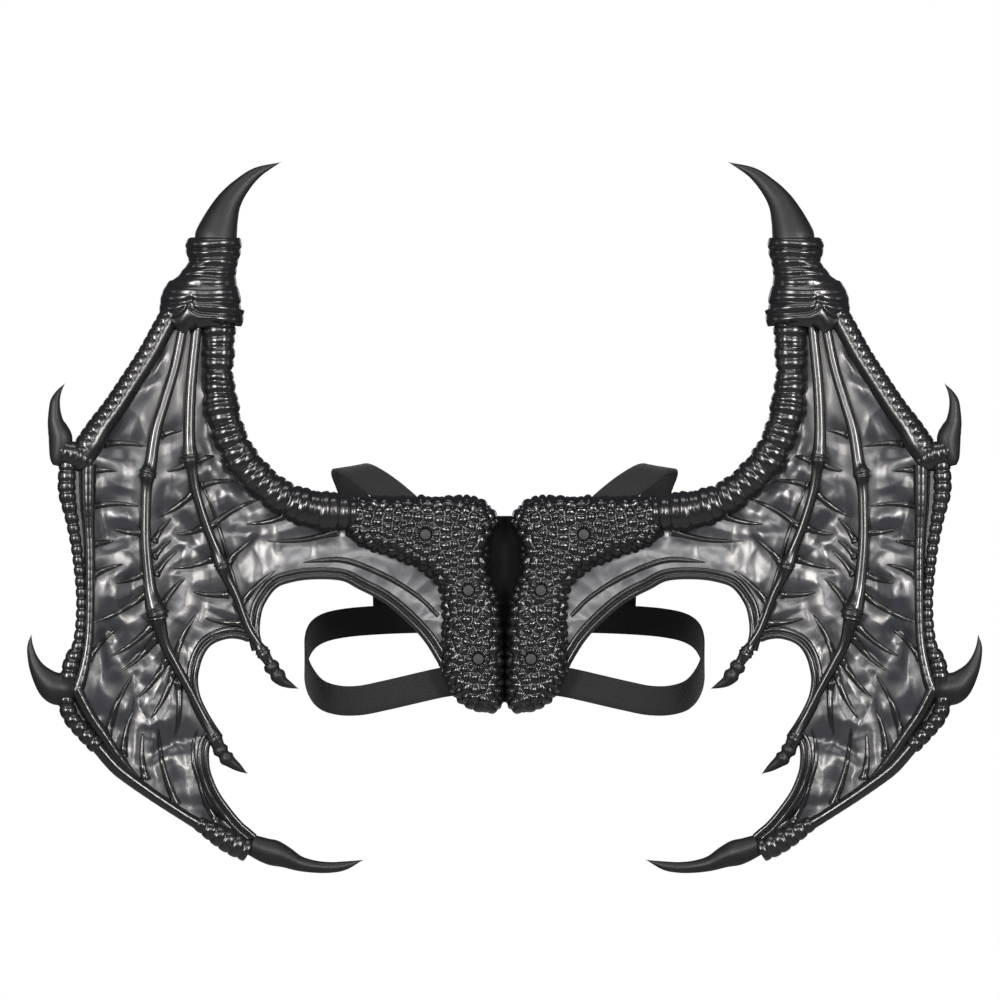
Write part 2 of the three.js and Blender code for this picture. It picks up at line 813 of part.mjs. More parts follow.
// A raised ridge on the skin: a low roof over its path, buried at its foot
function ridge(stations) {
  const last = stations.length - 1;
  const rings = stations.map(({ point, wide, high }, i) => {
    const before = stations[Math.max(0, i - 1)].point;
    const after = stations[Math.min(last, i + 1)].point;
    const along = after.clone().sub(before).normalize();
    const side = new THREE.Vector2(along.y, -along.x).multiplyScalar(wide / 2);
    const left = point.clone().add(side);
    const right = point.clone().sub(side);
    const skin = skinFront(point.x, point.y);
    const foot = (skin + skinBack(point.x)) / 2;
    return [
      new THREE.Vector3(left.x, foot, left.y),
      new THREE.Vector3(point.x, skin - high, point.y),
      new THREE.Vector3(right.x, foot, right.y),
    ];
  });
  return skinOver(rings);
}

function vein([fromAcross, fromUp, toAcross, toUp]) {
  const from = flat(fromAcross, fromUp);
  const to = flat(toAcross, toUp);
  const shares = [[-0.04, 2, 1], [0.5, 1.6, 0.85], [1, 0.2, 0.05]];
  const short = from.distanceTo(to) < longVein;
  return ridge(shares.filter((_, i) => !short || i !== 1).map(([along, wide, high]) => ({
    point: from.clone().lerp(to, along),
    wide: veinWidth * wide,
    high: veinHeight * high,
  })));
}

function rim(table, inset) {
  const path = smooth(table, Math.round(table.length * rimSteps));
  const inside = path.map((point, i) => {
    const before = path[Math.max(0, i - 1)];
    const after = path[Math.min(path.length - 1, i + 1)];
    const along = after.clone().sub(before).normalize();
    return point.clone().add(new THREE.Vector2(-along.y, along.x).multiplyScalar(inset));
  });
  return ridge(inside.map((point) => ({ point, wide: rimWidth * rimFoot, high: rimHeight })));
}

function innerRidgeOf(table) {
  return ridge(table.map(([across, up, share]) => ({
    point: flat(across, up),
    wide: rimWidth * rimFoot * share,
    high: rimHeight * ridgeLow * share,
  })));
}

// The wall that joins two bones which run side by side, from one centre line to the other
function webBetween(one, other) {
  const line = (name) => stationsOf(bones[name])
    .filter(({ crest }) => !crest || !bones[name].rings)
    .slice(1, -1)
    .map(({ centre }) => centre);
  const edge = [...line(one), ...line(other).reverse()];
  const depths = edge.map(({ y }) => y);
  const outline = edge.map(({ x, z }) => new THREE.Vector2(x, z));
  return prism(outline, Math.max(...depths), Math.min(...depths));
}

function membrane(padCutter) {
  const outline = [
    ...flankOf('outer_finger_upper', -1, 3, 2),
    ...flankOf('edge_bone', -1, 0, 1),
    ...flankOf('corner_bone', -1, 0, 0),
    ...flankOf('lower_bone', -1, 1, 1),
    ...flankOf('lower_knuckle', -1, 1, 1),
    ...smooth(lowerScallop, 7),
    ...smooth(middleScallop, 10),
    ...smooth(innerScallop, 13),
    ...hiddenEdge.map(([across, up]) => flat(across, up)),
    ...flankOf('upper_arm', 1, 3, 3).reverse(),
    flat(...wristFoot),
  ];
  const wall = gridSolid(skinFront, () => standOff)
    .intersect(gridSolid(() => farFront, skinBack, 1))
    .intersect(prism(outline, 0, farFront));
  const relief = [
    ...veins.map(vein),
    rim(lowerScallop, rimWidth),
    rim(middleScallop, rimWidth),
    rim(innerScallop, rimWidth),
    innerRidgeOf(innerRidge),
    innerRidgeOf(lowerRidge),
  ];
  const raised = cutAll(unite(relief), clearOf('middle_finger', 'inner_finger', 'middle_claw', 'inner_claw'));
  return mainBody(cutAll(wall.add(raised), [
    padCutter,
    ...clearOf(
      'wrist', 'upper_spur_claw', 'tip_claw', 'upper_arm', 'outer_finger_upper', 'edge_bone',
      'corner_bone', 'lower_bone', 'lower_knuckle',
    ),
  ]));
}

// The pad: a crowned cushion whose face is a lattice of pebbles, each a raised point between low joints
function padCrown(point, path) {
  const inward = Math.min(1, distanceToPath(point, path) / padRound);
  return padEdge + (padRise - padEdge) * Math.sqrt(1 - (1 - inward) ** 2);
}

function scalePad() {
  const outline = smooth(padOutline, padSides, true);
  const loop = [...outline, outline[0]];
  const box = new THREE.Box2().setFromPoints(outline).expandByScalar(scalePitch);
  const step = scalePitch / Math.sqrt(3);
  const lift = step * Math.sqrt(3) / 2;
  const rows = Math.ceil((box.max.y - box.min.y) / lift);
  const columns = Math.ceil((box.max.x - box.min.x) / step);
  const points = [];
  for (let j = 0; j <= rows; j++) {
    for (let i = 0; i <= columns; i++) {
      const x = box.min.x + (i + (j % 2) / 2) * step;
      const z = box.min.y + j * lift;
      const middle = (i - (j - (j % 2)) / 2 - j + 3 * rows) % 3 === 0;
      const crown = padCrown(new THREE.Vector2(x, z), loop);
      points.push(new THREE.Vector3(x, padBack - crown - (middle ? scaleRelief : 0), z));
    }
  }
  const wide = columns + 1;
  const faces = [];
  for (let j = 0; j < rows; j++) {
    for (let i = 0; i < columns; i++) {
      const [a, b, c, d] = [j * wide + i, j * wide + i + 1, (j + 1) * wide + i + 1, (j + 1) * wide + i];
      if (j % 2 === 0) {
        faces.push([a, b, d], [b, c, d]);
      } else {
        faces.push([a, b, c], [a, c, d]);
      }
    }
  }
  const counted = (count, place) => Array.from({ length: count }, (_, n) => place(n));
  const rimLoop = [
    ...counted(columns, (n) => n),
    ...counted(rows, (n) => n * wide + columns),
    ...counted(columns, (n) => rows * wide + columns - n),
    ...counted(rows, (n) => (rows - n) * wide),
  ];
  const foot = points.length;
  const below = padBack + padEdge;
  rimLoop.forEach((n) => points.push(new THREE.Vector3(points[n].x, below, points[n].z)));
  const centre = points.length;
  const middle = box.getCenter(new THREE.Vector2());
  points.push(new THREE.Vector3(middle.x, below, middle.y));
  rimLoop.forEach((n, k) => {
    const next = (k + 1) % rimLoop.length;
    faces.push([n, foot + k, rimLoop[next]], [rimLoop[next], foot + k, foot + next]);
    faces.push([foot + k, centre, foot + next]);
  });
  const cushion = solidFrom(points, faces).intersect(prism(outline, padBack, farFront));
  const holes = rivets.flatMap(([across, up]) => {
    const seat = rivetSeat(across, up, loop);
    return [
      disc(rivetShankRadius + gap, across, up, padBack + overlap, farFront),
      disc(rivetHeadRadius + gap, across, up, seat + gap, farFront),
    ];
  });
  return cutAll(cushion, holes);
}

// Underside of a rivet's head: the head stands a little below the pebbles' points
function rivetSeat(across, up, loop) {
  return padBack - padCrown(flat(across, up), loop) - scaleRelief + rivetHeadHeight + headDrop;
}

function rivet([across, up]) {
  const outline = smooth(padOutline, padSides, true);
  const seat = rivetSeat(across, up, [...outline, outline[0]]);
  const end = -gap;
  const profile = [
    [0, 0],
    [rivetShankRadius, 0],
    [rivetShankRadius, end - seat],
    [rivetHeadRadius, end - seat],
    [rivetHeadRadius, end - seat + rivetHeadHeight],
    [0, end - seat + rivetHeadHeight],
  ].map(([radius, height]) => new THREE.Vector2(radius, height));
  const geometry = new THREE.LatheGeometry(profile, rivetSides);
  geometry.rotateX(Math.PI);
  const middle = flat(across, up);
  geometry.translate(middle.x, end, middle.y);
  return solidFromGeometry(geometry);
}

function backPlate() {
  const half = plateOutline.map(([across, up]) => flat(across, up));
  const other = half.slice(1, -1).reverse().map((point) => new THREE.Vector2(-point.x, point.y));
  const whole = prism([...half, ...other], 0, -plateThickness);
  const holes = rivets.flatMap(([across, up]) => [
    disc(rivetShankRadius + gap, across, up, overlap, -plateThickness - overlap),
    disc(rivetShankRadius + gap, -across, up, overlap, -plateThickness - overlap),
  ]);
  return cutAll(whole, holes);
}

// Webbing: a flat section carried along a path, with its face square to facing
function ribbon(stations, loop) {
  const count = stations.length;
  const rings = stations.map(({ centre, facing }, i) => {
    const before = stations[loop ? (i + count - 1) % count : Math.max(0, i - 1)].centre;
    const after = stations[loop ? (i + 1) % count : Math.min(count - 1, i + 1)].centre;
    const tangent = after.clone().sub(before).normalize();
    const across = tangent.clone().cross(facing).normalize().multiplyScalar(webbing / 2);
    const out = across.clone().cross(tangent).normalize().multiplyScalar(webbingThickness / 2);
    return [[1, 1], [-1, 1], [-1, -1], [1, -1]].map(([a, b]) => (
      centre.clone().addScaledVector(across, a).addScaledVector(out, b)
    ));
  });
  return skinOver(rings, loop);
}

const webbingLayer = webbingBack - webbingThickness / 2;
const padTop = Math.max(...padOutline.map(([across, up]) => flat(across, up).y));
const lowestRivet = Math.min(...rivets.map(([across, up]) => flat(across, up).y));
const bandSeat = lowestRivet - rivetShankRadius - rivetToBand - webbing / 2;

function bandPath() {
  const half = bandLoop.map(([across, front, rise]) => new THREE.Vector3(
    -across * torsoHalfWidth,
    webbingLayer + front * torsoDepth,
    bandSeat + rise * bandTravel,
  ));
  const other = half.slice(1, -1).reverse().map((point) => new THREE.Vector3(-point.x, point.y, point.z));
  return new THREE.CatmullRomCurve3([...half, ...other], true);
}

function bandStation(path, share) {
  const tangent = path.getTangentAt(share);
  const facing = new THREE.Vector3(0, 0, 1).cross(tangent).normalize();
  return { centre: path.getPointAt(share), facing, up: tangent.clone().cross(facing).normalize() };
}

function chestBand() {
  const path = bandPath();
  return ribbon(Array.from({ length: bandSteps }, (_, i) => bandStation(path, i / bandSteps)), true);
}

// A shoulder strap ends over the chest band's outer face, square to it.
function shoulderStrap() {
  const seat = bandStation(bandPath(), strapEnd);
  const over = seat.centre.clone().addScaledVector(seat.facing, webbingThickness + gap * 2);
  const end = strapSewn.map((share) => over.clone().addScaledVector(seat.up, share * webbing));
  const worn = strapLoop.map(([across, front, up]) => new THREE.Vector3(
    -across * shoulderOut,
    webbingLayer + front * torsoDepth,
    padTop + (up - strapStart) * strapRise,
  ));
  const path = new THREE.CatmullRomCurve3([...worn, ...end]);
  const rows = worn.length + end.length - 1;
  const turned = (turn) => new THREE.Vector3(-shoulderLean * Math.sin(turn), -Math.cos(turn), Math.sin(turn));
  const faces = [
    ...strapLoop.map((row) => turned(THREE.MathUtils.degToRad(row[3]))),
    ...end.map(() => seat.facing),
  ];
  const facings = new THREE.CatmullRomCurve3(faces);
  const steps = rows * strapSteps;
  return ribbon(Array.from({ length: steps + 1 }, (_, i) => ({
    centre: path.getPoint(i / steps),
    facing: facings.getPoint(i / steps).normalize(),
  })), false);
}

// One wing's solids, on the wearer's left
function wing() {
  const padCutter = prism(grown(smooth(padOutline, padSides, true), gap), 0, farFront);
  const front = gridSolid(() => farFront, (x, z) => skinFront(x, z) - gap);
  const arm = mainBody(cutAll(bone(bones.upper_arm), [...clearOf('wrist'), padCutter]));
  const upperFinger = mainBody(cutAll(bone(bones.outer_finger_upper), clearOf('wrist', 'upper_spur_claw')));
  const middleEdge = unite([
    bone(bones.edge_strip), bone(bones.edge_bone), webBetween('edge_strip', 'edge_bone'),
  ]);
  const lowerEdge = unite([
    bone(bones.corner_finger), bone(bones.lower_bone), bone(bones.lower_knuckle), bone(bones.corner_bone),
    webBetween('corner_finger', 'corner_bone'),
  ]);
  const onSkin = (name, others) => (
    mainBody(cutAll(bone(bones[name]).intersect(front), clearOf(...others)))
  );
  return {
    scale_pad: [scalePad(), 'pad'],
    upper_arm: [arm, 'bone'],
    wrist: [bone(bones.wrist), 'bone'],
    thumb_claw: [mainBody(cutAll(bone(bones.thumb_claw), clearOf('wrist'))), 'claw'],
    outer_finger_upper: [upperFinger, 'bone'],
    upper_spur_claw: [bone(bones.upper_spur_claw), 'claw'],
    outer_finger_middle: [
      mainBody(cutAll(middleEdge, clearOf('upper_spur_claw', 'outer_finger_upper', 'lower_spur_claw'))), 'bone',
    ],
    lower_spur_claw: [bone(bones.lower_spur_claw), 'claw'],
    outer_finger_lower: [
      mainBody(cutAll(lowerEdge, clearOf('lower_spur_claw', 'edge_bone', 'edge_strip', 'tip_claw'))), 'bone',
    ],
    tip_claw: [bone(bones.tip_claw), 'claw'],
    middle_finger: [onSkin('middle_finger', ['wrist', 'outer_finger_upper']), 'bone'],
    middle_claw: [onSkin('middle_claw', ['middle_finger']), 'claw'],
    inner_finger: [onSkin('inner_finger', ['wrist', 'upper_arm', 'middle_finger']), 'bone'],
    inner_claw: [onSkin('inner_claw', ['inner_finger']), 'claw'],
    membrane: [membrane(padCutter), 'skin'],
    rivet_1: [rivet(rivets[0]), 'rivet'],
    rivet_2: [rivet(rivets[1]), 'rivet'],
    rivet_3: [rivet(rivets[2]), 'rivet'],
  };
}

const wings = new THREE.Group();

function addPiece(name, geometry, finish) {
  const mesh = new THREE.Mesh(geometry, new THREE.MeshStandardMaterial(colours[finish]));
  mesh.name = name;
  wings.add(mesh);
}

for (const [name, [solid, finish]] of Object.entries(wing())) {
  addPiece(`left_${name}`, geometryFrom(solid), finish);
  addPiece(`right_${name}`, geometryFrom(solid, true), finish);
}

const strap = shoulderStrap();
addPiece('back_plate', geometryFrom(backPlate()), 'plate');
addPiece('chest_band', geometryFrom(chestBand()), 'webbing');
addPiece('left_shoulder_strap', geometryFrom(strap), 'webbing');
addPiece('right_shoulder_strap', geometryFrom(strap, true), 'webbing');

export default wings;
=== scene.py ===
# %% [markdown]
# Dragon wings, worn on the back. The real ones are two wings moulded in black foam rubber, riveted to a
# stiff plate, with webbing straps for the shoulders and a band for the chest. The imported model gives
# every place and size, so each piece here is built where its own solid is, and then hides it.

import math

import bpy
import numpy as np
from mathutils import Matrix, Vector
from mathutils.geometry import delaunay_2d_cdt
from mathutils.kdtree import KDTree


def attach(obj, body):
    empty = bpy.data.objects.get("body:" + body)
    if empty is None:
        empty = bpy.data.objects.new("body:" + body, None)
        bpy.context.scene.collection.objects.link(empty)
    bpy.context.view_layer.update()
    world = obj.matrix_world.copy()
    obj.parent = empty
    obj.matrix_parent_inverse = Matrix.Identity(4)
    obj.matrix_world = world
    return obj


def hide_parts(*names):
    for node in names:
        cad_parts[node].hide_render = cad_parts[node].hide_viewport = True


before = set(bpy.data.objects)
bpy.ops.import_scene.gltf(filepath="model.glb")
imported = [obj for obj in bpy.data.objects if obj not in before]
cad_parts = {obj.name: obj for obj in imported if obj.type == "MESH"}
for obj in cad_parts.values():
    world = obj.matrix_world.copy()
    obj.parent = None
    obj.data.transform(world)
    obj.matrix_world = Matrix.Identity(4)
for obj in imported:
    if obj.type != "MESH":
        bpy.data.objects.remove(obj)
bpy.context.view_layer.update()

# %% [markdown]
# The photograph shows the wearer's back square on, so a place on a wing is easiest to give as two
# shares: across, from the centre line to the outermost spur, and up, from the belly of the lowest claw
# to the point of the highest. The wing lies on a sheet that sweeps backwards as it goes out. All tables
# below hold such shares, and one function turns them into metres.

# %% Sizes and places of a wing
HALF_SPAN = 0.381
WING_HEIGHT = 0.571
SEAT_HEIGHT = 0.216
SWEEP_BACK = 0.058
SWEEP_START = 0.28
SWEEP_POWER = 1.3
STAND_OFF = 0.016
WALL = 0.008
MM = 0.001


def sweep_at(across):
    share = np.clip((np.asarray(across) - SWEEP_START) / (1 - SWEEP_START), 0, None)
    return STAND_OFF + SWEEP_BACK * share ** SWEEP_POWER


def flat_place(table):
    """Shares of across and up as X and Z in metres, on the wearer's left."""
    table = np.asarray(table, float)
    return np.stack([-table[:, 0] * HALF_SPAN, table[:, 1] * WING_HEIGHT - SEAT_HEIGHT], axis=1)


def place(table, forward=0.0):
    flat = flat_place(table)
    depth = -sweep_at(np.asarray(table, float)[:, 0]) - forward
    return np.stack([flat[:, 0], depth, flat[:, 1]], axis=1)


print("outer edge lies", round(float(sweep_at(1.0)) * 1000, 1), "mm behind the wearer")

# %% [markdown]
# A finish is a tree of shader nodes. One helper adds a node, sets it and links it. Colours are written
# as the hex values that a screen shows, and one function turns them into the linear values that
# Blender works in.


# %% Helpers for node trees
def linear(hex_value):
    channels = [int(hex_value[i:i + 2], 16) / 255 for i in (1, 3, 5)]
    return [c / 12.92 if c <= 0.04045 else ((c + 0.055) / 1.055) ** 2.4 for c in channels] + [1.0]


def add_node(tree, kind, values=None, **settings):
    """A node with its settings, and values or links for its inputs."""
    node = tree.nodes.new(kind)
    for name, setting in settings.items():
        setattr(node, name, setting)
    for key, value in (values or {}).items():
        if isinstance(value, bpy.types.NodeSocket):
            tree.links.new(value, node.inputs[key])
        else:
            node.inputs[key].default_value = value
    return node


def start_finish(name, **sockets):
    """A material with its one shader; constants are set on the shader's own sockets."""
    finish = bpy.data.materials.new(name)
    finish.use_nodes = True
    tree = finish.node_tree
    shader = tree.nodes["Principled BSDF"]
    for socket, value in sockets.items():
        shader.inputs[socket.replace("_", " ")].default_value = value
    where = add_node(tree, "ShaderNodeTexCoord").outputs["Object"]
    return finish, tree, shader, where


# %% [markdown]
# The bones, claws and pads are self-skinning polyurethane foam, sprayed black. The mould leaves a
# satin skin with a very fine orange peel, and the spray lies a little thicker here and thinner there,
# which the eye reads as highlights that break up along their edges. The same tree also serves for the
# board and the rivet caps, with a duller and rougher grain.


# %% Finish: polyurethane foam skin
SPRAY_PATCH = 0.03


def foam_skin(name, colour, worn, roughness, peel_mm, peel_depth_mm, index):
    finish, tree, shader, where = start_finish(
        name, Base_Color=linear(colour), Roughness=roughness, IOR=index,
    )
    patches = add_node(tree, "ShaderNodeTexNoise", {
        "Vector": where, "Scale": 1 / SPRAY_PATCH, "Detail": 4.0, "Roughness": 0.6,
    })
    tint = add_node(tree, "ShaderNodeMix", {
        "Factor": patches.outputs["Fac"], "A": linear(colour), "B": linear(worn),
    }, data_type="RGBA")
    tree.links.new(tint.outputs["Result"], shader.inputs["Base Color"])
    gloss = add_node(tree, "ShaderNodeMapRange", {
        "Value": patches.outputs["Fac"], "From Min": 0.3, "From Max": 0.7,
        "To Min": roughness - 0.03, "To Max": roughness + 0.05,
    })
    tree.links.new(gloss.outputs["Result"], shader.inputs["Roughness"])
    peel = add_node(tree, "ShaderNodeTexNoise", {"Vector": where, "Scale": 1000 / peel_mm, "Detail": 2.0})
    bump = add_node(tree, "ShaderNodeBump", {
        "Height": peel.outputs["Fac"], "Strength": 0.6, "Distance": peel_depth_mm * MM,
    })
    tree.links.new(bump.outputs["Normal"], shader.inputs["Normal"])
    return finish


bone_finish = foam_skin("PU foam skin, satin black", "#111112", "#171718", 0.22, 1.6, 0.006, 1.48)
claw_finish = foam_skin("PU foam skin, smooth claw", "#0f0f10", "#151516", 0.46, 2.4, 0.004, 1.36)
pad_finish = foam_skin("PU foam skin, pebbled gloss", "#0c0c0d", "#111112", 0.2, 1.4, 0.004, 1.5)

# %% [markdown]
# The wing skin is the same moulding, but its face is sprayed with a glossy blue-black coat, and it
# mirrors the studio in soft clouds. Its fine crinkle is drawn as bump, and the larger creases are in the
# mesh. Shade is painted into the colour in the hollows beside the veins and along the bones: the mesh
# marks them with an attribute of its own, and there the colour goes nearly black and the coat rougher.

# %% Finish: glossy wing skin
skin_finish, tree, shader, where = start_finish(
    "PU foam skin, glossy blue-black", Base_Color=linear("#23252c"), Roughness=0.33, IOR=1.6,
    Coat_Weight=0.15, Coat_Roughness=0.2,
)
clouds = add_node(tree, "ShaderNodeTexNoise", {"Vector": where, "Scale": 1 / 0.045, "Detail": 3.0, "Distortion": 0.6})
tint = add_node(tree, "ShaderNodeMix", {
    "Factor": clouds.outputs["Fac"], "A": linear("#17191f"), "B": linear("#222328"),
}, data_type="RGBA")
# painted shade: near the veins and the bones the colour is pulled towards black, as if shade fell in the grooves
painted_hollow_shade = add_node(tree, "ShaderNodeAttribute", attribute_name="painted_hollow_shade").outputs["Fac"]
shaded = add_node(tree, "ShaderNodeMix", {
    "Factor": painted_hollow_shade, "A": tint.outputs["Result"], "B": linear("#0d0d0e"),
}, data_type="RGBA")
tree.links.new(shaded.outputs["Result"], shader.inputs["Base Color"])
gloss = add_node(tree, "ShaderNodeMapRange", {
    "Value": clouds.outputs["Fac"], "From Min": 0.3, "From Max": 0.7, "To Min": 0.29, "To Max": 0.37,
})
matted = add_node(tree, "ShaderNodeMath", {0: painted_hollow_shade, 1: 0.25, 2: gloss.outputs["Result"]}, operation="MULTIPLY_ADD")
tree.links.new(matted.outputs[0], shader.inputs["Roughness"])
crinkle = add_node(tree, "ShaderNodeTexNoise", {"Vector": where, "Scale": 1 / 0.006, "Detail": 3.0, "Roughness": 0.45})
bump = add_node(tree, "ShaderNodeBump", {"Height": crinkle.outputs["Fac"], "Strength": 0.15, "Distance": 0.0004})
tree.links.new(bump.outputs["Normal"], shader.inputs["Normal"])

# %% [markdown]
# The straps are woven polypropylene webbing: flat ribs run along the strap, and the weft crosses them.
# The pattern follows the strap, so it reads the strap's own UV map, which is in metres. Real threads
# are about 0.7 mm apart; they are drawn twice as coarse so that they show.

# %% Finish: webbing, plate and rivet caps
webbing_finish, tree, shader, where = start_finish(
    "Polypropylene webbing, black", Base_Color=linear("#1a1a1b"), Roughness=0.85, IOR=1.3, Sheen_Weight=0.05,
    Sheen_Roughness=0.5,
)
weave = add_node(tree, "ShaderNodeUVMap", uv_map="webbing")
THREADS = 0.0014
warp = add_node(tree, "ShaderNodeTexWave", {
    "Vector": weave.outputs["UV"], "Scale": math.pi / 10 / THREADS, "Distortion": 0.4,
}, wave_type="BANDS", bands_direction="X")
weft = add_node(tree, "ShaderNodeTexWave", {
    "Vector": weave.outputs["UV"], "Scale": math.pi / 10 / THREADS * 0.8, "Distortion": 0.3,
}, wave_type="BANDS", bands_direction="Y")
threads = add_node(tree, "ShaderNodeMath", {0: warp.outputs["Fac"], 1: weft.outputs["Fac"]}, operation="MULTIPLY")
shade = add_node(tree, "ShaderNodeMix", {
    "Factor": threads.outputs["Value"], "A": linear("#161617"), "B": linear("#1f1f20"),
}, data_type="RGBA")
tree.links.new(shade.outputs["Result"], shader.inputs["Base Color"])
bump = add_node(tree, "ShaderNodeBump", {"Height": threads.outputs["Value"], "Strength": 0.6, "Distance": 0.0003})
tree.links.new(bump.outputs["Normal"], shader.inputs["Normal"])

plate_finish = foam_skin("Polypropylene board, matte black", "#050505", "#080808", 0.9, 0.9, 0.05, 1.25)
rivet_finish = foam_skin("Nylon rivet cap, dark grey", "#222225", "#29292c", 0.6, 0.8, 0.02, 1.35)
print("finishes", len(bpy.data.materials))

# %% [markdown]
# Bones, fingers and claws are all lofts: an oval ring is carried along a smooth path and grows and
# shrinks with a table. A metaball or a sculpt could also make them, but a loft keeps the measured
# outline exactly, and its rings give every point a place along and around for later relief.


# %% Helpers for lofts
SHARPEST = 0.00015


def spline(rows, step):
    """A smooth line through rows, sampled at even steps of its first three columns' length."""
    rows = np.asarray(rows, float)
    padded = np.vstack([2 * rows[0] - rows[1], rows, 2 * rows[-1] - rows[-2]])
    share = np.linspace(0, 1, 25)[:-1, None]
    fine = []
    for a, b, c, d in zip(padded[:-3], padded[1:-2], padded[2:-1], padded[3:]):
        fine.append(0.5 * (2 * b + (c - a) * share + (2 * a - 5 * b + 4 * c - d) * share ** 2
                           + (3 * b - a - 3 * c + d) * share ** 3))
    fine = np.vstack(fine + [rows[-1:]])
    length = np.concatenate([[0], np.cumsum(np.linalg.norm(np.diff(fine[:, :3], axis=0), axis=1))])
    count = max(2, int(round(length[-1] / step)) + 1)
    even = np.linspace(0, length[-1], count)
    return np.stack([np.interp(even, length, column) for column in fine.T], axis=1), even


def ring_faces(rings, sides, closed=False):
    """Quads between rings of points, and a face over each end unless the last ring joins the first."""
    k = np.arange(sides)
    n = (k + 1) % sides
    faces = []
    for i in range(rings if closed else rings - 1):
        j = (i + 1) % rings
        faces += np.stack([i * sides + k, j * sides + k, j * sides + n, i * sides + n], axis=1).tolist()
    if not closed:
        faces.append(list(range(sides)))
        faces.append(list(range((rings - 1) * sides, rings * sides))[::-1])
    return faces


def tube(stations, along, sides, power=2.0):
    """A closed loft. Stations hold a centre, a half width in the wing's plane and a half depth."""
    centre = stations[:, :3]
    tangent = np.gradient(centre, axis=0)
    tangent /= np.linalg.norm(tangent, axis=1, keepdims=True)
    side = np.cross(tangent, [0.0, -1.0, 0.0])
    side /= np.linalg.norm(side, axis=1, keepdims=True)
    front = np.cross(side, tangent)
    turn = np.arange(sides) / sides * 2 * math.pi
    wave = np.abs(np.cos(turn)) ** power + np.abs(np.sin(turn)) ** power
    reach = wave ** (-1 / power)
    cos, sin = np.cos(turn) * reach, np.sin(turn) * reach
    wide = np.maximum(stations[:, 3], SHARPEST)[:, None, None]
    deep = np.maximum(stations[:, 4], SHARPEST)[:, None, None]
    points = centre[:, None] + side[:, None] * cos[None, :, None] * wide + front[:, None] * sin[None, :, None] * deep
    extra = {
        "along": np.repeat(along, sides),
        "around": np.tile(np.sin(turn), len(stations)),
        "side": np.tile(np.cos(turn), len(stations)),
    }
    return points.reshape(-1, 3), ring_faces(len(stations), sides), extra


def bone_rows(table, width, depth, forward, step):
    """Stations along a table of across, up and width share; a fourth column is the depth's share."""
    table = np.asarray(table, float)
    share = table[:, 3] if table.shape[1] > 3 else table[:, 2]
    rows = np.column_stack([place(table, forward), table[:, 2] * width / 2, share * depth / 2])
    return spline(rows, step)


def new_mesh(name, points, faces, extra=None):
    mesh = bpy.data.meshes.new(name)
    mesh.from_pydata(np.asarray(points).tolist(), [], faces)
    for key, values in (extra or {}).items():
        mesh.attributes.new(key, "FLOAT", "POINT").data.foreach_set("value", np.asarray(values, np.float32))
    mesh.polygons.foreach_set("use_smooth", [True] * len(mesh.polygons))
    mesh.update()
    return mesh


def joined(parts):
    """Several (points, faces, extra) as one."""
    points, faces, extra, start = [], [], {}, 0
    for part_points, part_faces, part_extra in parts:
        points.append(part_points)
        faces += [[n + start for n in face] for face in part_faces]
        for key, values in part_extra.items():
            extra.setdefault(key, []).append(values)
        start += len(part_points)
    return np.vstack(points), faces, {key: np.concatenate(values) for key, values in extra.items()}


# %% [markdown]
# Each wing piece is made once, for the wearer's left, and mirrored for the right. A mirrored mesh is
# inside out, so its faces are turned back. Each piece rides on the one body and hides its own solid.


# %% Helper that puts a piece in place on both sides
def add_piece(name, mesh, finish, slot, *nodes):
    piece = bpy.data.objects.new(name, mesh)
    bpy.context.scene.collection.objects.link(piece)
    mesh.materials.clear()
    mesh.materials.append(finish)
    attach(piece, "root")
    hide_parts(*nodes)
    return piece


def both_sides(name, mesh, finish, slot, *nodes):
    other = mesh.copy()
    other.transform(Matrix.Diagonal((-1, 1, 1, 1)))
    other.flip_normals()
    mesh.calc_loop_triangles()
    print(name, "triangles", len(mesh.loop_triangles))
    return [
        add_piece(f"left_{name}", mesh, finish, slot, *[f"left_{node}" for node in nodes]),
        add_piece(f"right_{name}", other, finish, slot, *[f"right_{node}" for node in nodes]),
    ]


# %% [markdown]
# What repeats is made with Geometry Nodes: a tree takes a plain mesh or a curve and a few named sizes,
# and gives the finished relief. It ends in Realize Instances and Set Material, and its result is
# turned into a plain mesh before anything else is done with it.


# %% Helpers for Geometry Nodes
def start_tree(name, **sizes):
    tree = bpy.data.node_groups.new(name, "GeometryNodeTree")
    tree.interface.new_socket("Geometry", in_out="INPUT", socket_type="NodeSocketGeometry")
    for label, value in sizes.items():
        socket = tree.interface.new_socket(label.replace("_", " "), in_out="INPUT", socket_type="NodeSocketFloat")
        socket.default_value = value
    tree.interface.new_socket("Finish", in_out="INPUT", socket_type="NodeSocketMaterial")
    tree.interface.new_socket("Geometry", in_out="OUTPUT", socket_type="NodeSocketGeometry")
    return tree, add_node(tree, "NodeGroupInput").outputs


def end_tree(tree, geometry, inputs):
    smooth = add_node(tree, "GeometryNodeSetShadeSmooth", {"Geometry": geometry})
    real = add_node(tree, "GeometryNodeRealizeInstances", {"Geometry": smooth.outputs[0]})
    dressed = add_node(tree, "GeometryNodeSetMaterial", {"Geometry": real.outputs[0], "Material": inputs["Finish"]})
    add_node(tree, "NodeGroupOutput", {"Geometry": dressed.outputs[0]})


def grown(tree, data, finish, **sizes):
    """The mesh that a tree makes of data. Inputs are set by identifier before the first evaluation."""
    carrier = bpy.data.objects.new("carrier", data)
    bpy.context.scene.collection.objects.link(carrier)
    modifier = carrier.modifiers.new("tree", "NODES")
    modifier.node_group = tree
    chosen = {label.replace("_", " "): value for label, value in sizes.items()}
    chosen["Finish"] = finish
    for item in tree.interface.items_tree:
        if item.in_out == "INPUT" and item.name in chosen:
            modifier[item.identifier] = chosen[item.name]
    depsgraph = bpy.context.evaluated_depsgraph_get()
    mesh = bpy.data.meshes.new_from_object(carrier.evaluated_get(depsgraph), depsgraph=depsgraph)
    bpy.data.objects.remove(carrier)
    return mesh


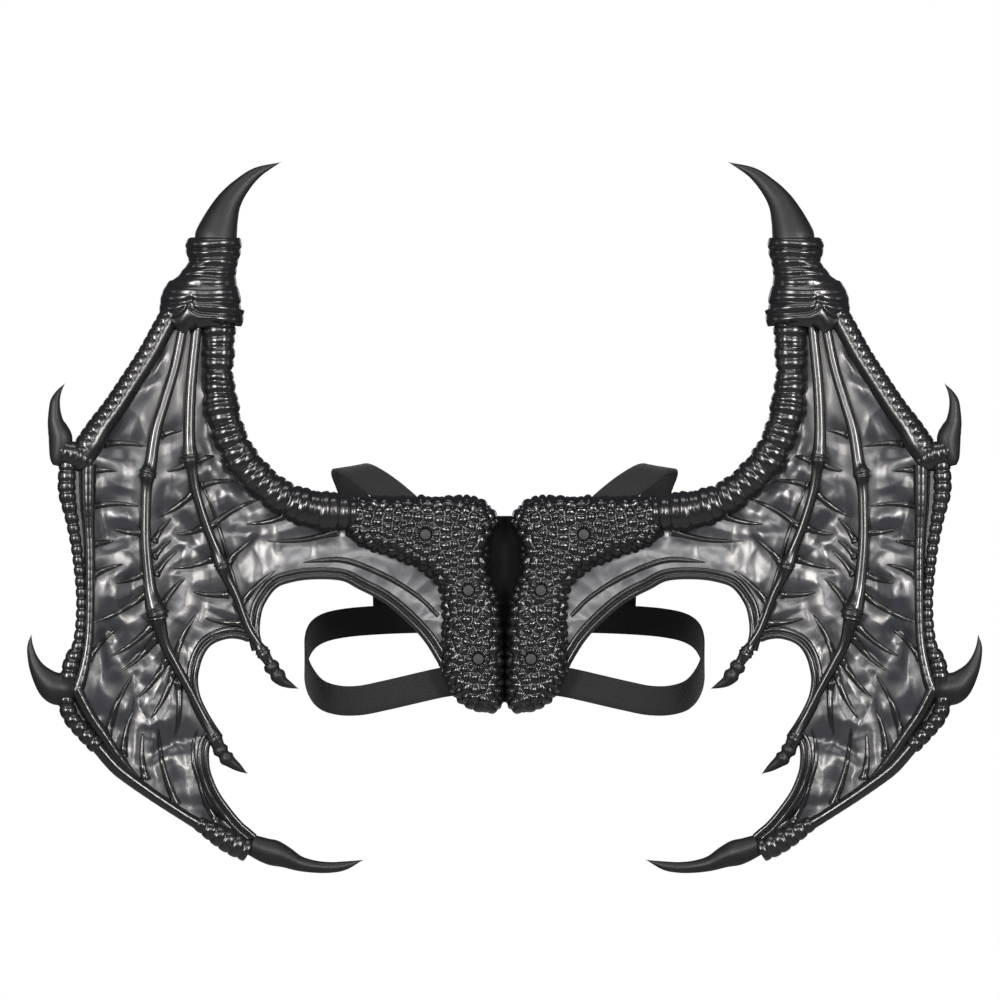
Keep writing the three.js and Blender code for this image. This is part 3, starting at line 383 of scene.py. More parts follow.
# %% [markdown]
# The arm and the outer fingers are ringed like a worm: soft bands of nearly even width, each bulging
# between two sharp creases that waver a little, with finer wrinkles on them. The tree lifts a plain
# loft into bands by its place along the path. The mask in "ring" fades them where the bone is smooth, and
# "side", which is 1 on the outer edge and -1 on the inner one, keeps the finest rings to the inner edge.

# %% Geometry Nodes: rings on a bone
ring_tree, inputs = start_tree(
    "rings on a bone", Pitch=0.009, Height=0.0012, Waver=0.35, Wrinkle=0.0003, Crease=2.4, Fine=0.3, Seed=1.0,
)
along = add_node(ring_tree, "GeometryNodeInputNamedAttribute", {"Name": "along"}, data_type="FLOAT").outputs[0]
mask = add_node(ring_tree, "GeometryNodeInputNamedAttribute", {"Name": "ring"}, data_type="FLOAT").outputs[0]
where = add_node(ring_tree, "GeometryNodeInputPosition").outputs[0]
normal = add_node(ring_tree, "GeometryNodeInputNormal").outputs[0]
waver = add_node(ring_tree, "ShaderNodeTexNoise", {
    "Vector": where, "W": inputs["Seed"], "Scale": 1 / 0.016, "Detail": 1.0,
}, noise_dimensions="4D")
shift = add_node(ring_tree, "ShaderNodeMath", {0: waver.outputs["Fac"], 1: inputs["Waver"]}, operation="MULTIPLY")
counted = add_node(ring_tree, "ShaderNodeMath", {0: along, 1: inputs["Pitch"]}, operation="DIVIDE")
phase = add_node(ring_tree, "ShaderNodeMath", {0: counted.outputs[0], 1: shift.outputs[0]}, operation="ADD")
part = add_node(ring_tree, "ShaderNodeMath", {0: phase.outputs[0]}, operation="FRACT")
centred = add_node(ring_tree, "ShaderNodeMath", {0: part.outputs[0], 1: 2.0, 2: -1.0}, operation="MULTIPLY_ADD")
off = add_node(ring_tree, "ShaderNodeMath", {0: centred.outputs[0]}, operation="ABSOLUTE")
steep = add_node(ring_tree, "ShaderNodeMath", {0: off.outputs[0], 1: inputs["Crease"]}, operation="POWER")
band = add_node(ring_tree, "ShaderNodeMath", {0: 0.55, 1: steep.outputs[0]}, operation="SUBTRACT")
FINE_IN_BAND = 2.5
fine_turns = add_node(ring_tree, "ShaderNodeMath", {
    0: phase.outputs[0], 1: 2 * math.pi * FINE_IN_BAND,
}, operation="MULTIPLY")
fine_ring = add_node(ring_tree, "ShaderNodeMath", {0: fine_turns.outputs[0]}, operation="SINE")
side = add_node(ring_tree, "GeometryNodeInputNamedAttribute", {"Name": "side"}, data_type="FLOAT").outputs[0]
inner = add_node(ring_tree, "ShaderNodeMapRange", {"Value": side, "From Min": 0.1, "From Max": -0.7})
inner_ring = add_node(ring_tree, "ShaderNodeMath", {
    0: fine_ring.outputs[0], 1: inner.outputs["Result"],
}, operation="MULTIPLY")
bands = add_node(ring_tree, "ShaderNodeMath", {
    0: inner_ring.outputs[0], 1: inputs["Fine"], 2: band.outputs[0],
}, operation="MULTIPLY_ADD")
lift = add_node(ring_tree, "ShaderNodeMath", {0: bands.outputs[0], 1: inputs["Height"]}, operation="MULTIPLY")
fine = add_node(ring_tree, "ShaderNodeTexNoise", {
    "Vector": where, "W": inputs["Seed"], "Scale": 1 / 0.005, "Detail": 2.0,
}, noise_dimensions="4D")
fine_centred = add_node(ring_tree, "ShaderNodeMath", {0: fine.outputs["Fac"], 1: 0.5}, operation="SUBTRACT")
fine_lift = add_node(ring_tree, "ShaderNodeMath", {
    0: fine_centred.outputs[0], 1: inputs["Wrinkle"],
}, operation="MULTIPLY")
both = add_node(ring_tree, "ShaderNodeMath", {0: lift.outputs[0], 1: fine_lift.outputs[0]}, operation="ADD")
masked = add_node(ring_tree, "ShaderNodeMath", {0: both.outputs[0], 1: mask}, operation="MULTIPLY")
offset = add_node(ring_tree, "ShaderNodeVectorMath", {"Vector": normal, "Scale": masked.outputs[0]}, operation="SCALE")
moved = add_node(ring_tree, "GeometryNodeSetPosition", {"Geometry": inputs["Geometry"], "Offset": offset.outputs[0]})
end_tree(ring_tree, moved.outputs[0], inputs)
print(ring_tree.name, len(ring_tree.nodes), "nodes")

# %% [markdown]
# The upper arm swings in one long curve from the pad, along the top of the wing, and up to the wrist. It
# is made of segments, each a little thicker in its middle, and every segment carries a few rings. Like all
# tables of bones, this one gives across, up and the share of the full width at a row of places.

# %% Upper arm
ARM_WIDTH = 0.0265
UPPER_ARM = [
    [0.601, 0.782, 1.0], [0.601, 0.735, 0.94], [0.602, 0.7, 0.88], [0.597, 0.665, 1.03], [0.589, 0.637, 1.0],
    [0.572, 0.605, 1.0], [0.547, 0.576, 1.03], [0.513, 0.552, 1.0], [0.473, 0.531, 1.0], [0.429, 0.517, 1.09],
    [0.383, 0.51, 1.15], [0.362, 0.509, 1.16], [0.34, 0.508, 1.06], [0.32, 0.507, 0.85], [0.297, 0.506, 0.5],
]
SEGMENT = 0.021
stations, along = bone_rows(UPPER_ARM, ARM_WIDTH, ARM_WIDTH * 0.85, 0.004, 0.0008)
SEGMENT_WAIST = 0.92
SEGMENT_SWELL = 0.12
stations[:, 3:] *= (SEGMENT_WAIST + SEGMENT_SWELL * np.abs(np.sin(math.pi * along / SEGMENT)) ** 0.7)[:, None]
points, faces, extra = tube(stations, along, 64)
extra["ring"] = np.ones(len(points))
mesh = grown(ring_tree, new_mesh("arm", points, faces, extra), bone_finish, Pitch=0.0089, Height=0.0013,
             Waver=0.45, Wrinkle=0.0004, Fine=0.1, Crease=2.0)
both_sides("ringed_arm", mesh, bone_finish, "bone_foam", "upper_arm")
print("arm length", round(along[-1] * 1000), "mm")

# %% [markdown]
# The wrist is the fattest joint: a collar with two lips that holds the claw, a neck of soft rings, and a
# knuckle that overhangs the arm and the outer finger. Its creases aren't even, so a short table gives
# each one: how high up it lies, how deep and how wide it is, and how far it peaks where the skin is
# pinched between the two bones below. Beside that pinch the knuckle's foot hangs down over the finger.

# %% Wrist
WRIST_WIDTH = 0.068
WRIST_DEPTH = 0.037
WRIST = [
    [0.614, 0.8925, 0.5, 0.68], [0.614, 0.891, 0.58, 0.77], [0.6135, 0.8875, 0.63, 0.83], [0.6125, 0.882, 0.645, 0.85],
    [0.612, 0.8775, 0.64, 0.84], [0.612, 0.866, 0.6, 0.8], [0.613, 0.853, 0.55, 0.76],
    [0.62, 0.836, 0.66, 0.84], [0.6265, 0.819, 0.83, 0.94], [0.634, 0.804, 0.96, 1.0], [0.637, 0.79, 0.99, 1.0],
    [0.641, 0.777, 0.92, 0.94], [0.641, 0.766, 0.64, 0.72],
]
WRIST_CREASES = [
    [0.8775, 0.0026, 0.0016, 0.0], [0.8648, 0.002, 0.0022, 0.0], [0.8515, 0.0018, 0.0021, 0.0],
    [0.8396, 0.0018, 0.002, 0.0], [0.825, 0.0015, 0.0026, 0.0006], [0.8137, 0.0008, 0.0018, 0.001],
    [0.801, 0.0024, 0.0022, 0.0045], [0.786, 0.0028, 0.0024, 0.0105],
]
PINCH_SIDE = 0.3
PINCH_WIDTH = 0.16
WRIST_SIDES = 128
WRIST_SWELL = 0.0009
CREASE_SWING = 0.0006
FOOT_TOP = 0.79
FOOT_REACH = 0.02
FOOT_DROP = 0.0042
stations, along = bone_rows(WRIST, WRIST_WIDTH, WRIST_DEPTH, 0.003, 0.0005)
points, faces, extra = tube(stations, along, WRIST_SIDES)
fronted = np.clip(extra["around"] * 2, 0, 1)
lift = np.zeros(len(points))
for up, depth, width, peak in WRIST_CREASES:
    off = (extra["side"] - PINCH_SIDE) / PINCH_WIDTH
    drift = peak * fronted * np.exp(-np.abs(off) * 1.3)
    swing = CREASE_SWING * np.sin(extra["side"] * 4 + up * 90)
    crease = up * WING_HEIGHT - SEAT_HEIGHT + drift + swing
    lift -= depth * (0.35 + 0.65 * fronted) * np.exp(-np.abs((points[:, 2] - crease) / width) ** 1.5)
middle = np.repeat(stations[:, :3], WRIST_SIDES, axis=0)
outward = points - middle
outward /= np.maximum(np.linalg.norm(outward, axis=1, keepdims=True), 1e-9)
points = points + outward * (lift + WRIST_SWELL)[:, None]
foot = np.clip((FOOT_TOP - (points[:, 2] + SEAT_HEIGHT) / WING_HEIGHT) / FOOT_REACH, 0, 1) * fronted
from_pinch = extra["side"] - PINCH_SIDE
hang = np.exp(-((from_pinch - 0.2) / 0.2) ** 2) - 0.7 * np.exp(-((from_pinch + 0.1) / 0.16) ** 2)
points[:, 2] -= FOOT_DROP * foot * (hang - 0.35 * (extra["side"] < 0) * np.minimum(1, -extra["side"] * 4))
both_sides("folded_wrist", new_mesh("wrist", points, faces, extra), bone_finish, "bone_foam", "wrist")

# %% [markdown]
# The claws are smooth cones that bend and flatten to a point, with a soft ridge on their face. A
# power below 2 makes the oval section a little diamond shaped, which gives that ridge.


# %% Claws
def claw_mesh(name, table, width, deep, forward, power):
    stations, along = bone_rows(table, width, width * deep, forward, 0.001)
    return new_mesh(name, *tube(stations, along, 40, power))


THUMB_CLAW = [
    [0.6095, 0.886, 0.98], [0.6055, 0.897, 1.0], [0.594, 0.9216, 0.8], [0.579, 0.944, 0.6], [0.555, 0.965, 0.43],
    [0.521, 0.985, 0.26], [0.471, 1.0, 0],
]
UPPER_SPUR = [
    [0.9385, 0.5735, 0.3], [0.9365, 0.579, 0.62], [0.9335, 0.5875, 0.86], [0.93, 0.5994, 1.05], [0.929, 0.612, 1.12],
    [0.934, 0.6235, 0.98], [0.939, 0.6345, 0.76], [0.941, 0.65, 0.57], [0.9396, 0.664, 0.45], [0.932, 0.6765, 0.24],
    [0.92, 0.688, 0],
]
LOWER_SPUR = [
    [0.9, 0.262, 0.9], [0.918, 0.262, 1.3], [0.934, 0.2625, 1.42], [0.948, 0.267, 1.28], [0.962, 0.276, 1.0],
    [0.977, 0.29, 0.66], [0.987, 0.306, 0.42], [0.9915, 0.322, 0.25], [0.9895, 0.338, 0],
]
UPPER_KNUCKLE = [
    [0.936, 0.594, 0.3], [0.926, 0.594, 0.85], [0.905, 0.59, 1.12], [0.885, 0.582, 1.1], [0.868, 0.576, 0.8],
]
TIP_CLAW = [
    [0.535, 0.042, 0.8], [0.505, 0.0336, 0.95], [0.485, 0.0294, 1.0], [0.463, 0.0238, 0.84], [0.4335, 0.0147, 0.6],
    [0.4, 0.0098, 0.48], [0.366, 0.0086, 0.42], [0.335, 0.0112, 0.33], [0.298, 0.019, 0],
]
MIDDLE_CLAW = [
    [0.601, 0.18, 0.9], [0.596, 0.1745, 1.16], [0.5905, 0.169, 0.84], [0.584, 0.1635, 1.12], [0.576, 0.1585, 0.86],
    [0.559, 0.15, 0.55], [0.5405, 0.1415, 0],
]
INNER_CLAW = [
    [0.495, 0.2965, 0.95], [0.489, 0.2905, 1.18], [0.4835, 0.285, 0.86], [0.477, 0.279, 1.14], [0.467, 0.271, 0.8],
    [0.45, 0.265, 0.43], [0.434, 0.2605, 0],
]
CLAWS = {
    # table, full width, depth's share of it, how far forward it stands, power, node
    "thumb_hook": (THUMB_CLAW, 0.0335, 0.66, 0.003, 1.95, "thumb_claw"),
    "upper_spur": (UPPER_SPUR, 0.017, 0.75, 0.002, 1.75, "upper_spur_claw"),
    "lower_spur": (LOWER_SPUR, 0.019, 0.75, -0.0005, 1.75, "lower_spur_claw"),
    "tip_hook": (TIP_CLAW, 0.0208, 0.8, 0.0015, 1.75, "tip_claw"),
    "middle_hook": (MIDDLE_CLAW, 0.0112, 0.8, 0.0075, 1.75, "middle_claw"),
    "inner_hook": (INNER_CLAW, 0.0112, 0.8, 0.0075, 1.75, "inner_claw"),
}
for name, (*sizes, node) in CLAWS.items():
    both_sides(name, claw_mesh(name, *sizes), claw_finish, "claw_foam", node)

# %% [markdown]
# The outer finger runs down the wing's edge in three lengths: a ringed tube from the wrist to the
# upper spur, a ringed strip beside a smooth bone down to the lower spur, and a smooth bone with a
# ringed end below it. A smooth bone is a ringed one whose mask leaves it a trace of relief.

# %% Outer finger
FINGER_UPPER = [
    [0.69, 0.79, 0.9], [0.708, 0.776, 0.92], [0.747, 0.728, 0.94], [0.784, 0.689, 0.96], [0.82, 0.652, 1.0],
    [0.847, 0.6275, 1.05], [0.867, 0.605, 1.17], [0.886, 0.586, 1.1],
]
EDGE_STRIP = [
    [0.914, 0.58, 1.0], [0.916, 0.539, 1.03], [0.906, 0.5, 0.75], [0.895, 0.455, 0.62], [0.887, 0.399, 0.55],
    [0.887, 0.357, 0.57], [0.893, 0.322, 0.68], [0.906, 0.301, 0.92], [0.914, 0.27, 1.0],
]
EDGE_BONE = [
    [0.872, 0.575, 1.0], [0.872, 0.525, 0.88], [0.87, 0.483, 0.66], [0.868, 0.441, 0.62], [0.869, 0.356, 0.56],
    [0.874, 0.315, 0.62], [0.885, 0.28, 0.74], [0.897, 0.256, 0.8],
]
CORNER_FINGER = [
    [0.921, 0.265, 1.07], [0.918, 0.245, 1.0], [0.908, 0.223, 1.0], [0.8825, 0.202, 1.0], [0.853, 0.181, 1.0],
]
LOWER_BONE = [
    [0.853, 0.181, 0.9], [0.824, 0.158, 0.93], [0.8, 0.143, 0.93], [0.74, 0.1134, 0.86], [0.677, 0.085, 0.8],
    [0.643, 0.071, 0.86],
]
LOWER_KNUCKLE = [
    [0.645, 0.073, 0.9], [0.603, 0.056, 1.43], [0.57, 0.0435, 1.64], [0.541, 0.034, 1.57],
]
CORNER_BONE = [
    [0.897, 0.262, 1.08], [0.87, 0.227, 1.0], [0.84, 0.197, 0.95], [0.815, 0.172, 0.85], [0.79, 0.151, 0.6],
    [0.765, 0.135, 0.2],
]


def ringed(table, width, depth, forward, ring=1.0, outer_only=False):
    """A loft whose "ring" mask is even, or lies on its outer half alone."""
    stations, along = bone_rows(table, width, depth, forward, 0.0008)
    points, faces, extra = tube(stations, along, 44)
    outer = np.clip(extra["side"] * 1.1 + 0.3, 0.0, 1) if outer_only else np.ones(len(points))
    extra["ring"] = ring * outer
    return points, faces, extra


def ringed_mesh(parts, **sizes):
    return grown(ring_tree, new_mesh("ringed", *joined(parts)), bone_finish, **sizes)


both_sides("ringed_finger", ringed_mesh([
    ringed(FINGER_UPPER, 0.019, 0.019 * 0.85, 0.002, outer_only=True),
], Pitch=0.0074, Height=0.001, Fine=0.0, Wrinkle=0.0, Waver=0.1, Crease=3.2), bone_finish, "bone_foam",
    "outer_finger_upper")
both_sides("spur_knuckle", ringed_mesh([
    ringed(UPPER_KNUCKLE, 0.0175, 0.0145, 0.0035),
], Pitch=0.0058, Height=0.0006, Waver=1.0, Wrinkle=0.0006, Fine=0.0), bone_finish, "bone_foam")

# %% [markdown]
# Between the ringed strip and the smooth bone beside it the moulding is solid, but lies lower. That web,
# the wing skin and the pads all start as an outline. A constrained Delaunay triangulation fills it with
# a fine honeycomb of points, so the edge stays crisp and the face is even enough to carry relief. A
# remesh would blur the edge, and a grid would leave it stepped.


# %% Helpers for outlines
def inside(points, outline):
    """Which points lie inside a closed outline."""
    ax, ay = outline.T
    bx, by = np.roll(outline, -1, axis=0).T
    result = np.zeros(len(points), bool)
    for x0, y0, x1, y1 in zip(ax, ay, bx, by):
        crosses = (y0 > points[:, 1]) != (y1 > points[:, 1])
        at = x0 + (points[:, 1] - y0) / np.where(y1 == y0, 1e-12, y1 - y0) * (x1 - x0)
        result ^= crosses & (points[:, 0] < at)
    return result


def distance_to(points, path, closed=False):
    """How far points lie from a line in the plane."""
    path = np.vstack([path, path[:1]]) if closed else path
    least = np.full(len(points), np.inf)
    for start, end in zip(path[:-1], path[1:]):
        way = end - start
        share = np.clip(((points - start) @ way) / max(way @ way, 1e-18), 0, 1)
        least = np.minimum(least, np.linalg.norm(points - start - share[:, None] * way, axis=1))
    return least


def evenly(outline, step):
    """A closed line sampled at even steps."""
    line = np.vstack([outline, outline[:1]])
    length = np.concatenate([[0], np.cumsum(np.linalg.norm(np.diff(line, axis=0), axis=1))])
    count = max(3, int(round(length[-1] / step)))
    even = np.linspace(0, length[-1], count + 1)[:-1]
    return np.stack([np.interp(even, length, column) for column in line.T], axis=1)


def smooth_line(table, step):
    """A smooth line through a table's places, in the plane."""
    flat = flat_place(table)
    rows = np.column_stack([flat, np.zeros(len(flat))])
    return spline(rows, step)[0][:, :2]


def filled(outline, step, margin=0.6):
    """Triangles over an outline: its own points first, then a honeycomb inside."""
    low, high = outline.min(axis=0), outline.max(axis=0)
    rows = np.arange(low[1], high[1], step * math.sqrt(3) / 2)
    columns = np.arange(low[0], high[0], step)
    grid = np.array([[x + (j % 2) * step / 2, z] for j, z in enumerate(rows) for x in columns])
    grid = grid[inside(grid, outline)]
    grid = grid[distance_to(grid, outline, closed=True) > margin * step]
    points = np.vstack([outline, grid])
    edge = [(i, (i + 1) % len(outline)) for i in range(len(outline))]
    scale = 1000.0
    found = delaunay_2d_cdt([tuple(p) for p in points * scale], edge, [list(range(len(outline)))], 1, 1e-6)
    return np.array(found[0], float) / scale, [list(face) for face in found[2]]


def slab(outline, front_of, back_of, fine, coarse):
    """A closed body over an outline, fine on its front and coarse on its back, with its normals outward."""
    area = np.sum(outline[:, 0] * np.roll(outline[:, 1], -1) - np.roll(outline[:, 0], -1) * outline[:, 1])
    if area < 0:
        outline = outline[::-1]
    front_flat, front_faces = filled(outline, fine)
    back_flat, back_faces = filled(outline, coarse)
    count = len(outline)
    front = np.column_stack([front_flat[:, 0], front_of(front_flat), front_flat[:, 1]])
    back = np.column_stack([back_flat[:, 0], back_of(back_flat), back_flat[:, 1]])
    start = len(front)
    faces = front_faces + [[n + start for n in face][::-1] for face in back_faces]
    faces += [[i, start + i, start + (i + 1) % count, (i + 1) % count] for i in range(count)]
    points = np.vstack([front, back])
    flags = np.concatenate([np.ones(len(front)), np.zeros(len(back))])
    return points, faces, flags, front_flat


def middle_of(flat):
    """How deep the sheet that the wing lies on is at places in its plane."""
    return -sweep_at(-flat[:, 0] / HALF_SPAN)


def web(one, other, lower):
    """The moulding between two bones, lower than both."""
    outline = evenly(np.vstack([smooth_line(one, 0.003), smooth_line(other, 0.003)[::-1]]), 0.003)
    points, faces, _, _ = slab(
        outline, lambda flat: middle_of(flat) - lower, lambda flat: middle_of(flat) + 0.001, 0.003, 0.006,
    )
    blank = np.zeros(len(points))
    return points, faces, {"along": blank, "around": blank, "side": blank, "ring": blank}


SMOOTH = 0.08
WEB_LOWER = 0.0015
both_sides("ringed_edge", ringed_mesh([
    ringed(EDGE_STRIP, 0.013, 0.011, 0.001),
    ringed(EDGE_BONE, 0.0136, 0.0136, 0.0025, ring=SMOOTH),
    web(EDGE_STRIP, EDGE_BONE, WEB_LOWER),
], Pitch=0.0085, Height=0.0013, Fine=0.0, Waver=0.15, Crease=3.0), bone_finish, "bone_foam", "outer_finger_middle")
both_sides("lower_edge", ringed_mesh([
    ringed(CORNER_FINGER, 0.0124, 0.0124, 0.001),
    ringed(LOWER_BONE, 0.0114, 0.0114, 0.0015, ring=SMOOTH),
    ringed(LOWER_KNUCKLE, 0.0114, 0.0114 * 0.9, 0.0015),
    ringed(CORNER_BONE, 0.0096, 0.0096, 0.003, ring=SMOOTH),
    web(CORNER_FINGER + LOWER_BONE[1:3], CORNER_BONE, WEB_LOWER),
], Pitch=0.0085, Height=0.0013, Fine=0.0, Waver=0.35, Crease=3.0), bone_finish, "bone_foam", "outer_finger_lower")

# %% [markdown]
# Two rays cross the wing from the wrist like canes of bamboo: smooth shafts with a swollen node where
# each section ends, and thin rings on the node. They lie half sunk in the skin.

# %% Middle and inner rays
MIDDLE_RAY = [
    [0.673, 0.775, 0.9], [0.6916, 0.713, 0.95], [0.7126, 0.665, 1.0], [0.7314, 0.623, 1.09], [0.742, 0.578, 1.2],
    [0.748, 0.562, 1.5], [0.75, 0.545, 1.09], [0.752, 0.52, 1.0], [0.752, 0.464, 1.0], [0.744, 0.406, 1.18],
    [0.7356, 0.38, 1.7], [0.729, 0.367, 2.0], [0.725, 0.354, 1.4], [0.7126, 0.3235, 1.0], [0.6926, 0.297, 0.91],
    [0.662, 0.259, 0.82], [0.631, 0.2185, 0.82], [0.609, 0.192, 1.27], [0.599, 0.176, 1.1],
]
INNER_RAY = [
    [0.6455, 0.775, 0.95], [0.658, 0.692, 1.05], [0.662, 0.637, 1.09], [0.662, 0.6065, 1.18], [0.66, 0.5855, 1.45],
    [0.656, 0.567, 1.09], [0.6475, 0.535, 0.91], [0.6265, 0.489, 0.91], [0.6055, 0.454, 1.0], [0.594, 0.434, 1.3],
    [0.5846, 0.417, 0.95], [0.566, 0.392, 0.82], [0.5405, 0.347, 0.75], [0.5195, 0.3235, 0.85], [0.509, 0.312, 1.2],
    [0.5, 0.3025, 1.0], [0.492, 0.294, 0.9],
]
RAY_WIDTH = 0.0088
NODE_PITCH = 0.0032
NODE_WIDTH = 0.0008
NODE_RISE = 0.17
MIDDLE_RINGS = [[0.562, 2], [0.366, 3], [0.1925, 2], [0.1765, 1]]
INNER_RINGS = [[0.584, 2], [0.434, 2], [0.312, 2], [0.2955, 1]]


def ray_mesh(table, rings):
    """A ray; rings give how high up its thin rings lie and how many are there."""
    stations, along = bone_rows(table, RAY_WIDTH, RAY_WIDTH * 0.85, 0.0, 0.0005)
    stations[:, 1] -= WALL / 2 + 0.4 * stations[:, 4]
    heights = (stations[:, 2] + SEAT_HEIGHT) / WING_HEIGHT
    swell = np.zeros(len(stations))
    for up, count in rings:
        middle = along[np.argmin(np.abs(heights - up))]
        for n in range(count):
            off = along - middle - (n - (count - 1) / 2) * NODE_PITCH
            swell += NODE_RISE * np.exp(-(off / NODE_WIDTH) ** 2)
    stations[:, 3:] *= 1 + swell[:, None]
    points, faces, extra = tube(stations, along, 32)
    return new_mesh("ray", points, faces, extra)


both_sides("middle_ray", ray_mesh(MIDDLE_RAY, MIDDLE_RINGS), bone_finish, "bone_foam", "middle_finger")
both_sides("inner_ray", ray_mesh(INNER_RAY, INNER_RINGS), bone_finish, "bone_foam", "inner_finger")

# %% [markdown]
# The wing skin hangs between the bones. Its face stands highest along them and along the rims, and is
# hollowed between, with folds that run down the panels. The scallops are the free lower edge. A fold
# goes from one place to another, each given as across and up, and has a strength.

# %% Wing skin: outline and main form
BILLOW = 0.0048
BILLOW_REACH = 0.028
FOLD_HEIGHT = 0.0044
FOLD_WIDTH = 0.013
LOWER_SCALLOP = [
    [0.523, 0.055], [0.5375, 0.0635], [0.553, 0.0725], [0.576, 0.091], [0.601, 0.115], [0.617, 0.14],
    [0.622, 0.158], [0.621, 0.179], [0.61, 0.193],
]
MIDDLE_SCALLOP = [
    [0.594, 0.195], [0.612, 0.213], [0.6286, 0.2325], [0.641, 0.252], [0.6454, 0.273], [0.641, 0.2927],
    [0.632, 0.3095], [0.618, 0.322], [0.598, 0.329], [0.576, 0.332], [0.555, 0.3305], [0.5405, 0.327],
]
INNER_SCALLOP = [
    [0.509, 0.317], [0.5165, 0.34], [0.5135, 0.364], [0.505, 0.381], [0.484, 0.4006], [0.459, 0.409],
    [0.41, 0.4146], [0.3454, 0.413], [0.3076, 0.401], [0.255, 0.3824], [0.207, 0.3557], [0.167, 0.3263],
    [0.1324, 0.2885],
]
HIDDEN_EDGE = [[0.0894, 0.29], [0.0894, 0.4], [0.1565, 0.462], [0.303, 0.487]]
FOLDS = [
    [0.744, 0.665, 0.7965, 0.567, 1.0], [0.811, 0.497, 0.832, 0.371, 1.0], [0.702, 0.623, 0.698, 0.441, 0.7],
    [0.66, 0.441, 0.675, 0.329, 0.8], [0.6075, 0.623, 0.593, 0.511, 0.7], [0.545, 0.469, 0.572, 0.399, 0.9],
    [0.429, 0.462, 0.26, 0.425, 0.6], [0.849, 0.273, 0.744, 0.189, 0.9], [0.744, 0.245, 0.6706, 0.119, 0.8],
]
scallops = [smooth_line(table, 0.002) for table in (LOWER_SCALLOP, MIDDLE_SCALLOP, INNER_SCALLOP)]
outline = np.vstack([
    smooth_line(FINGER_UPPER, 0.003)[2:-2],
    smooth_line(EDGE_BONE, 0.003)[1:-2],
    smooth_line(CORNER_BONE, 0.003),
    smooth_line(LOWER_BONE[2:], 0.003),
    smooth_line(LOWER_KNUCKLE, 0.003)[1:-1],
    *scallops,
    flat_place(HIDDEN_EDGE),
    smooth_line(UPPER_ARM[::-1], 0.003)[2:-2],
    flat_place([[0.641, 0.79]]),
])
outline = evenly(outline, 0.0016)
holders = [flat_place(table) for table in (UPPER_ARM, FINGER_UPPER, EDGE_BONE, LOWER_BONE, LOWER_KNUCKLE,
                                           MIDDLE_RAY, INNER_RAY)] + scallops


def smoothstep(value, low, high):
    share = np.clip((value - low) / (high - low), 0, 1)
    return share * share * (3 - 2 * share)


def from_nearest(points, paths):
    """How far points lie from the nearest of some lines."""
    return np.min([distance_to(points, path) for path in paths], axis=0)


# %% [markdown]
# Veins and struts are raised ridges that leave a bone, taper and end in a point on the skin. Each row
# gives the root and the point. The skin dips beside them, narrow and wide, as a quilt does at its seams.

# %% Veins and struts: where they run
VEINS = [
    [0.836, 0.604, 0.752, 0.6], [0.864, 0.517, 0.767, 0.517], [0.755, 0.393, 0.862, 0.354],
    [0.637, 0.546, 0.57, 0.552], [0.616, 0.49, 0.515, 0.527], [0.862, 0.42, 0.8, 0.4355],
    [0.87, 0.304, 0.8175, 0.343], [0.744, 0.347, 0.825, 0.307], [0.7335, 0.3305, 0.805, 0.285],
    [0.71, 0.3, 0.771, 0.248], [0.696, 0.283, 0.742, 0.22], [0.685, 0.2675, 0.6915, 0.196],
    [0.719, 0.377, 0.6725, 0.416], [0.6925, 0.304, 0.6475, 0.365], [0.658, 0.533, 0.729, 0.5015],
    [0.618, 0.4425, 0.6945, 0.43], [0.5835, 0.393, 0.653, 0.3965], [0.557, 0.353, 0.6285, 0.36],
    [0.58, 0.4385, 0.528, 0.4705], [0.555, 0.378, 0.483, 0.426], [0.4587, 0.5042, 0.5426, 0.4916],
    [0.358, 0.4804, 0.4985, 0.468], [0.832, 0.196, 0.78, 0.28], [0.8, 0.168, 0.7775, 0.233],
    [0.7535, 0.137, 0.7587, 0.199], [0.6915, 0.102, 0.727, 0.206], [0.6055, 0.074, 0.641, 0.1275],
    [0.721, 0.616, 0.677, 0.623], [0.643, 0.58, 0.61, 0.587], [0.862, 0.566, 0.813, 0.566],
    [0.864, 0.4615, 0.82, 0.468], [0.765, 0.48, 0.8155, 0.4845], [0.759, 0.4215, 0.8155, 0.41],
    [0.7355, 0.468, 0.7, 0.5], [0.7355, 0.4455, 0.7, 0.469], [0.6705, 0.5755, 0.708, 0.566],
    [0.637, 0.486, 0.6885, 0.4775], [0.7315, 0.4215, 0.6885, 0.454],
]
VEIN_RADIUS = 0.0031
DIP_DEPTH = 0.0013
DIP_WIDTH = 0.0045
PILLOW_DEPTH = 0.0016
PILLOW_WIDTH = 0.011


def vein_line(row, count):
    """A vein's places and how far along it each lies."""
    start, end = flat_place([row[:2], row[2:4]])
    share = np.linspace(-0.03, 1, count)
    way = end - start
    bow = np.array([-way[1], way[0]]) * 0.05
    return start + share[:, None] * way + np.sin(share * math.pi)[:, None] * bow, share


def vein_pull(points, width):
    """1 on a vein's root, falling to 0 away from it and less towards its point."""
    pull = np.zeros(len(points))
    for row in VEINS:
        line, _ = vein_line(row, 7)
        fade = np.linspace(1, 0.45, 6)
        for start, end, strength in zip(line[:-1], line[1:], fade):
            pull = np.maximum(pull, strength * np.exp(-(distance_to(points, np.array([start, end])) / width) ** 2))
    return pull


# %% [markdown]
# The skin is crumpled all over, as soft vinyl is: broad smooth dents with smaller ones between them. A
# sum of waves that run in random directions gives such dents, and as it is a plain function of place,
# whatever lies on the skin can follow it too. Beside the pad the skin is tighter and calmer.


# %% Wing skin: its face
CALM_SHARE = 0.3
CALM_TO = (0.4, 0.6)
DENTS = ((0.0019, 0.07, 3), (0.0003, 0.03, 5))


